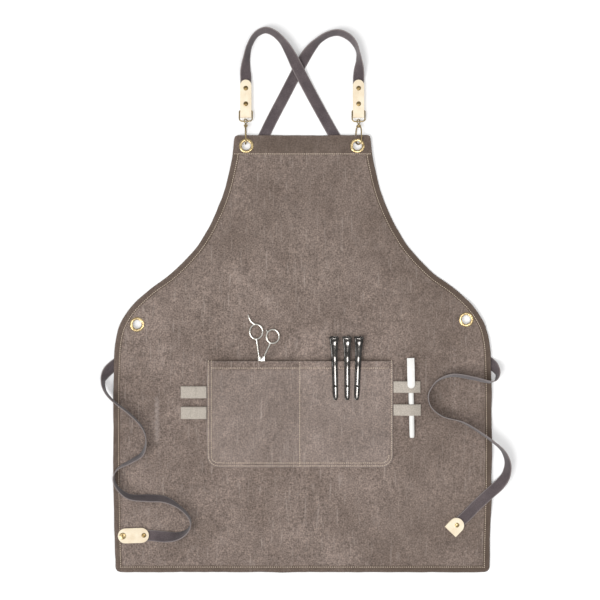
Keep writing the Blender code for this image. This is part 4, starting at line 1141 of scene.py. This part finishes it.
def make_hook(side):
    """The D ring, swivel eye, hook and spring gate of one snap hook."""
    eye_body, hook_body = "eye_" + side, "hook_" + side
    roll = HOOK_ROLL[side]
    axis_z = HOOK_WIRE + 0.1 * MM + HOOK_REACH * math.cos(roll)
    tilt = math.asin((axis_z - RING_Z) / RING_LENGTH)
    x = TAB_X[side]
    swing = Matrix.Translation((x, RING_Y, RING_Z)) @ Matrix.Rotation(-tilt, 4, "X")
    half, long = RING_WIDTH / 2, RING_LENGTH
    outline = arc((half - RING_TIGHT, -RING_TIGHT), RING_TIGHT, 0, 90, 8)
    outline += arc((-half + RING_TIGHT, -RING_TIGHT), RING_TIGHT, 90, 180, 8)
    outline += arc((-half + RING_ROUND, RING_ROUND - long), RING_ROUND, 180, 270, 10)
    outline += arc((half - RING_ROUND, RING_ROUND - long), RING_ROUND, 270, 360, 10)
    ring = wire([(px, py, 0) for px, py in outline], RING_WIRE, (0, 0, 1), True)
    piece("d_ring_" + side, ring, "old_brass", "ring_" + side, swing, "ring_" + side)
    eye_y = RING_Y - RING_LENGTH * math.cos(tilt)
    eye_axis = Matrix.Translation((x, eye_y, axis_z))
    circle = [(px, py, 0) for px, py in arc((0, 0), EYE_RADIUS, 0, 350, 35)]
    eye = wire(circle, EYE_WIRE, (0, 0, 1), True)
    lean = Matrix.Rotation(math.radians(45), 4, "Y")
    along_y = Matrix.Rotation(math.pi / 2, 4, "X")
    piece("eye_" + side, eye, "old_brass", eye_body, eye_axis @ lean, "swivel_eye_" + side)
    stem = ((0, 3.8), (1.5, 3.8), (1.5, 9.9), (2.6, 9.9), (2.6, 11.2), (0, 11.2))
    stem = turned([(radius * MM, down * MM) for radius, down in stem], 24)
    piece("eye_stem_" + side, stem, "old_brass", eye_body, eye_axis @ along_y)
    hook_axis = eye_axis @ Matrix.Rotation(roll, 4, "Y")
    collar = ((1.9, 6.2), (3.0, 6.2), (3.4, 6.5), (3.55, 7.0), (3.55, 8.8), (3.4, 9.3), (3.0, 9.6),
              (1.9, 9.6))
    collar = turned([(radius * MM, down * MM) for radius, down in collar], 32)
    piece("collar_" + side, collar, "old_brass", hook_body, hook_axis @ along_y, "hook_body_" + side)
    bend = wire(hook_wire_path(), HOOK_WIRE, (1, 0, 0))
    piece("hook_wire_" + side, bend, "old_brass", hook_body, hook_axis)
    gate = wire([(0, y * MM, z * MM) for y, z in GATE_PATH], GATE_WIRE, (1, 0, 0))
    piece("gate_wire_" + side, gate, "dark_brass", "gate_" + side, hook_axis, "gate_" + side)
    lug = wire([(0, -7.8 * MM, -2.8 * MM), (0, -9.0 * MM, -4.4 * MM)], LUG_WIRE, (1, 0, 0))
    piece("gate_lug_" + side, lug, "old_brass", hook_body, hook_axis)


def clip_arm(name, facing, matrix, body):
    """A pressed clip arm: domed across, with ribs at its thumb end; facing is 1 up or -1 down."""
    fine = []
    for row, after in zip(CLIP_ROWS, CLIP_ROWS[1:]):
        for step in range(4):
            fine.append([a + (b - a) * step / 4 for a, b in zip(row, after)])
    fine.append(list(CLIP_ROWS[-1]))
    bm = bmesh.new()
    rings = []
    for y, half, inner, outer in fine:
        rib = CLIP_RIB_HEIGHT * math.sin(2 * math.pi * y / CLIP_RIB_PITCH) if y > CLIP_RIBS_FROM else 0.0
        lip = inner + CLIP_LIP
        arch = [(half * math.cos(a), lip + (outer + rib - lip) * math.sin(a) ** 0.75)
                for a in np.radians(np.linspace(0, 180, 17))]
        section = [(-half, inner), (half, inner)] + arch
        rings.append([bm.verts.new((px * MM, y * MM, facing * pz * MM)) for px, pz in section])
    join_rings(bm, rings, closed=False)
    piece(name + "_looks", bm, "gunmetal", body, matrix, name)


def make_clip(name, x, y, turn):
    """A sectioning clip: its two arms, and a near-black disc of painted shade for the vent near the front
    arm's tip.
    """
    matrix = Matrix.Translation((x * MM, y * MM, CLIP_MIDDLE)) @ Matrix.Rotation(math.radians(turn), 4, "Z")
    clip_arm(name + "_front", 1, matrix, name + "_front")
    clip_arm(name + "_back", -1, matrix, name)
    # Painted shade: a thin near-black disc that stands for the shaded hole of the vent.
    vent = turned(((0, 0), (VENT_RADIUS, 0), (VENT_RADIUS, VENT_THICK), (0, VENT_THICK)), 20)
    vent_place = matrix @ Matrix.Translation((0, -VENT_DOWN, VENT_HEIGHT))
    piece(name + "_vent", vent, "vent", name + "_front", vent_place)


def make_pen():
    """The pen's oval barrel."""
    matrix = Matrix.Translation((*PEN_TOP, PEN_CENTRE)) @ Matrix.Rotation(PEN_TURN, 4, "Z")
    bm = bmesh.new()
    rings = []
    for down, wide, tall in PEN_ROWS:
        section = arc((0, 0), (wide * MM, tall * MM), 0, 350, 35)
        rings.append([bm.verts.new((x, -down * MM, z)) for x, z in section])
    join_rings(bm, rings, closed=False)
    piece("barrel", bm, "white_plastic", "pen", matrix, "pen_barrel")


for name, place in GROMMETS.items():
    make_grommet(name, *place)
for side in ("left", "right"):
    make_hook(side)
    for number in (1, 2):
        make_rivet(f"tab_rivet_{side}_{number}", "dark_brass", RIVET_HEAD, RIVET_BACK)
rivet_left = make_rivet("tail_rivet_left", "dark_brass", RIVET_HEAD, RIVET_POST)
rivet_right = make_rivet("tail_rivet_right", "brass", RIVET_HEAD, RIVET_POST)
stud_left = make_rivet("tail_stud_left", "brass", SNAP_HEAD, RIVET_BACK)
for name, (x, y, turn) in CLIPS.items():
    make_clip(name, x, y, turn)
make_pen()
bevelled_copy("pen_clip", "white_plastic", "pen", PEN_CLIP_EDGE)
for node, body in (("scissors_lower", "scissors"), ("scissors_upper", "scissors_half"),
                   ("scissors_screw", "scissors")):
    bevelled_copy(node, "steel", body, SCISSOR_EDGE)
paint(FINISH["steel"], [f"clip_{number}_pin" for number in (1, 2, 3)])


# ---------------------------------------------------------------- the panel outline's area

def outline_area(outline):
    """The area inside a closed plan outline."""
    x, y = outline[:, 0], outline[:, 1]
    return abs(np.sum(x * np.roll(y, -1) - np.roll(x, -1) * y)) / 2


outline_area(panel_outline())
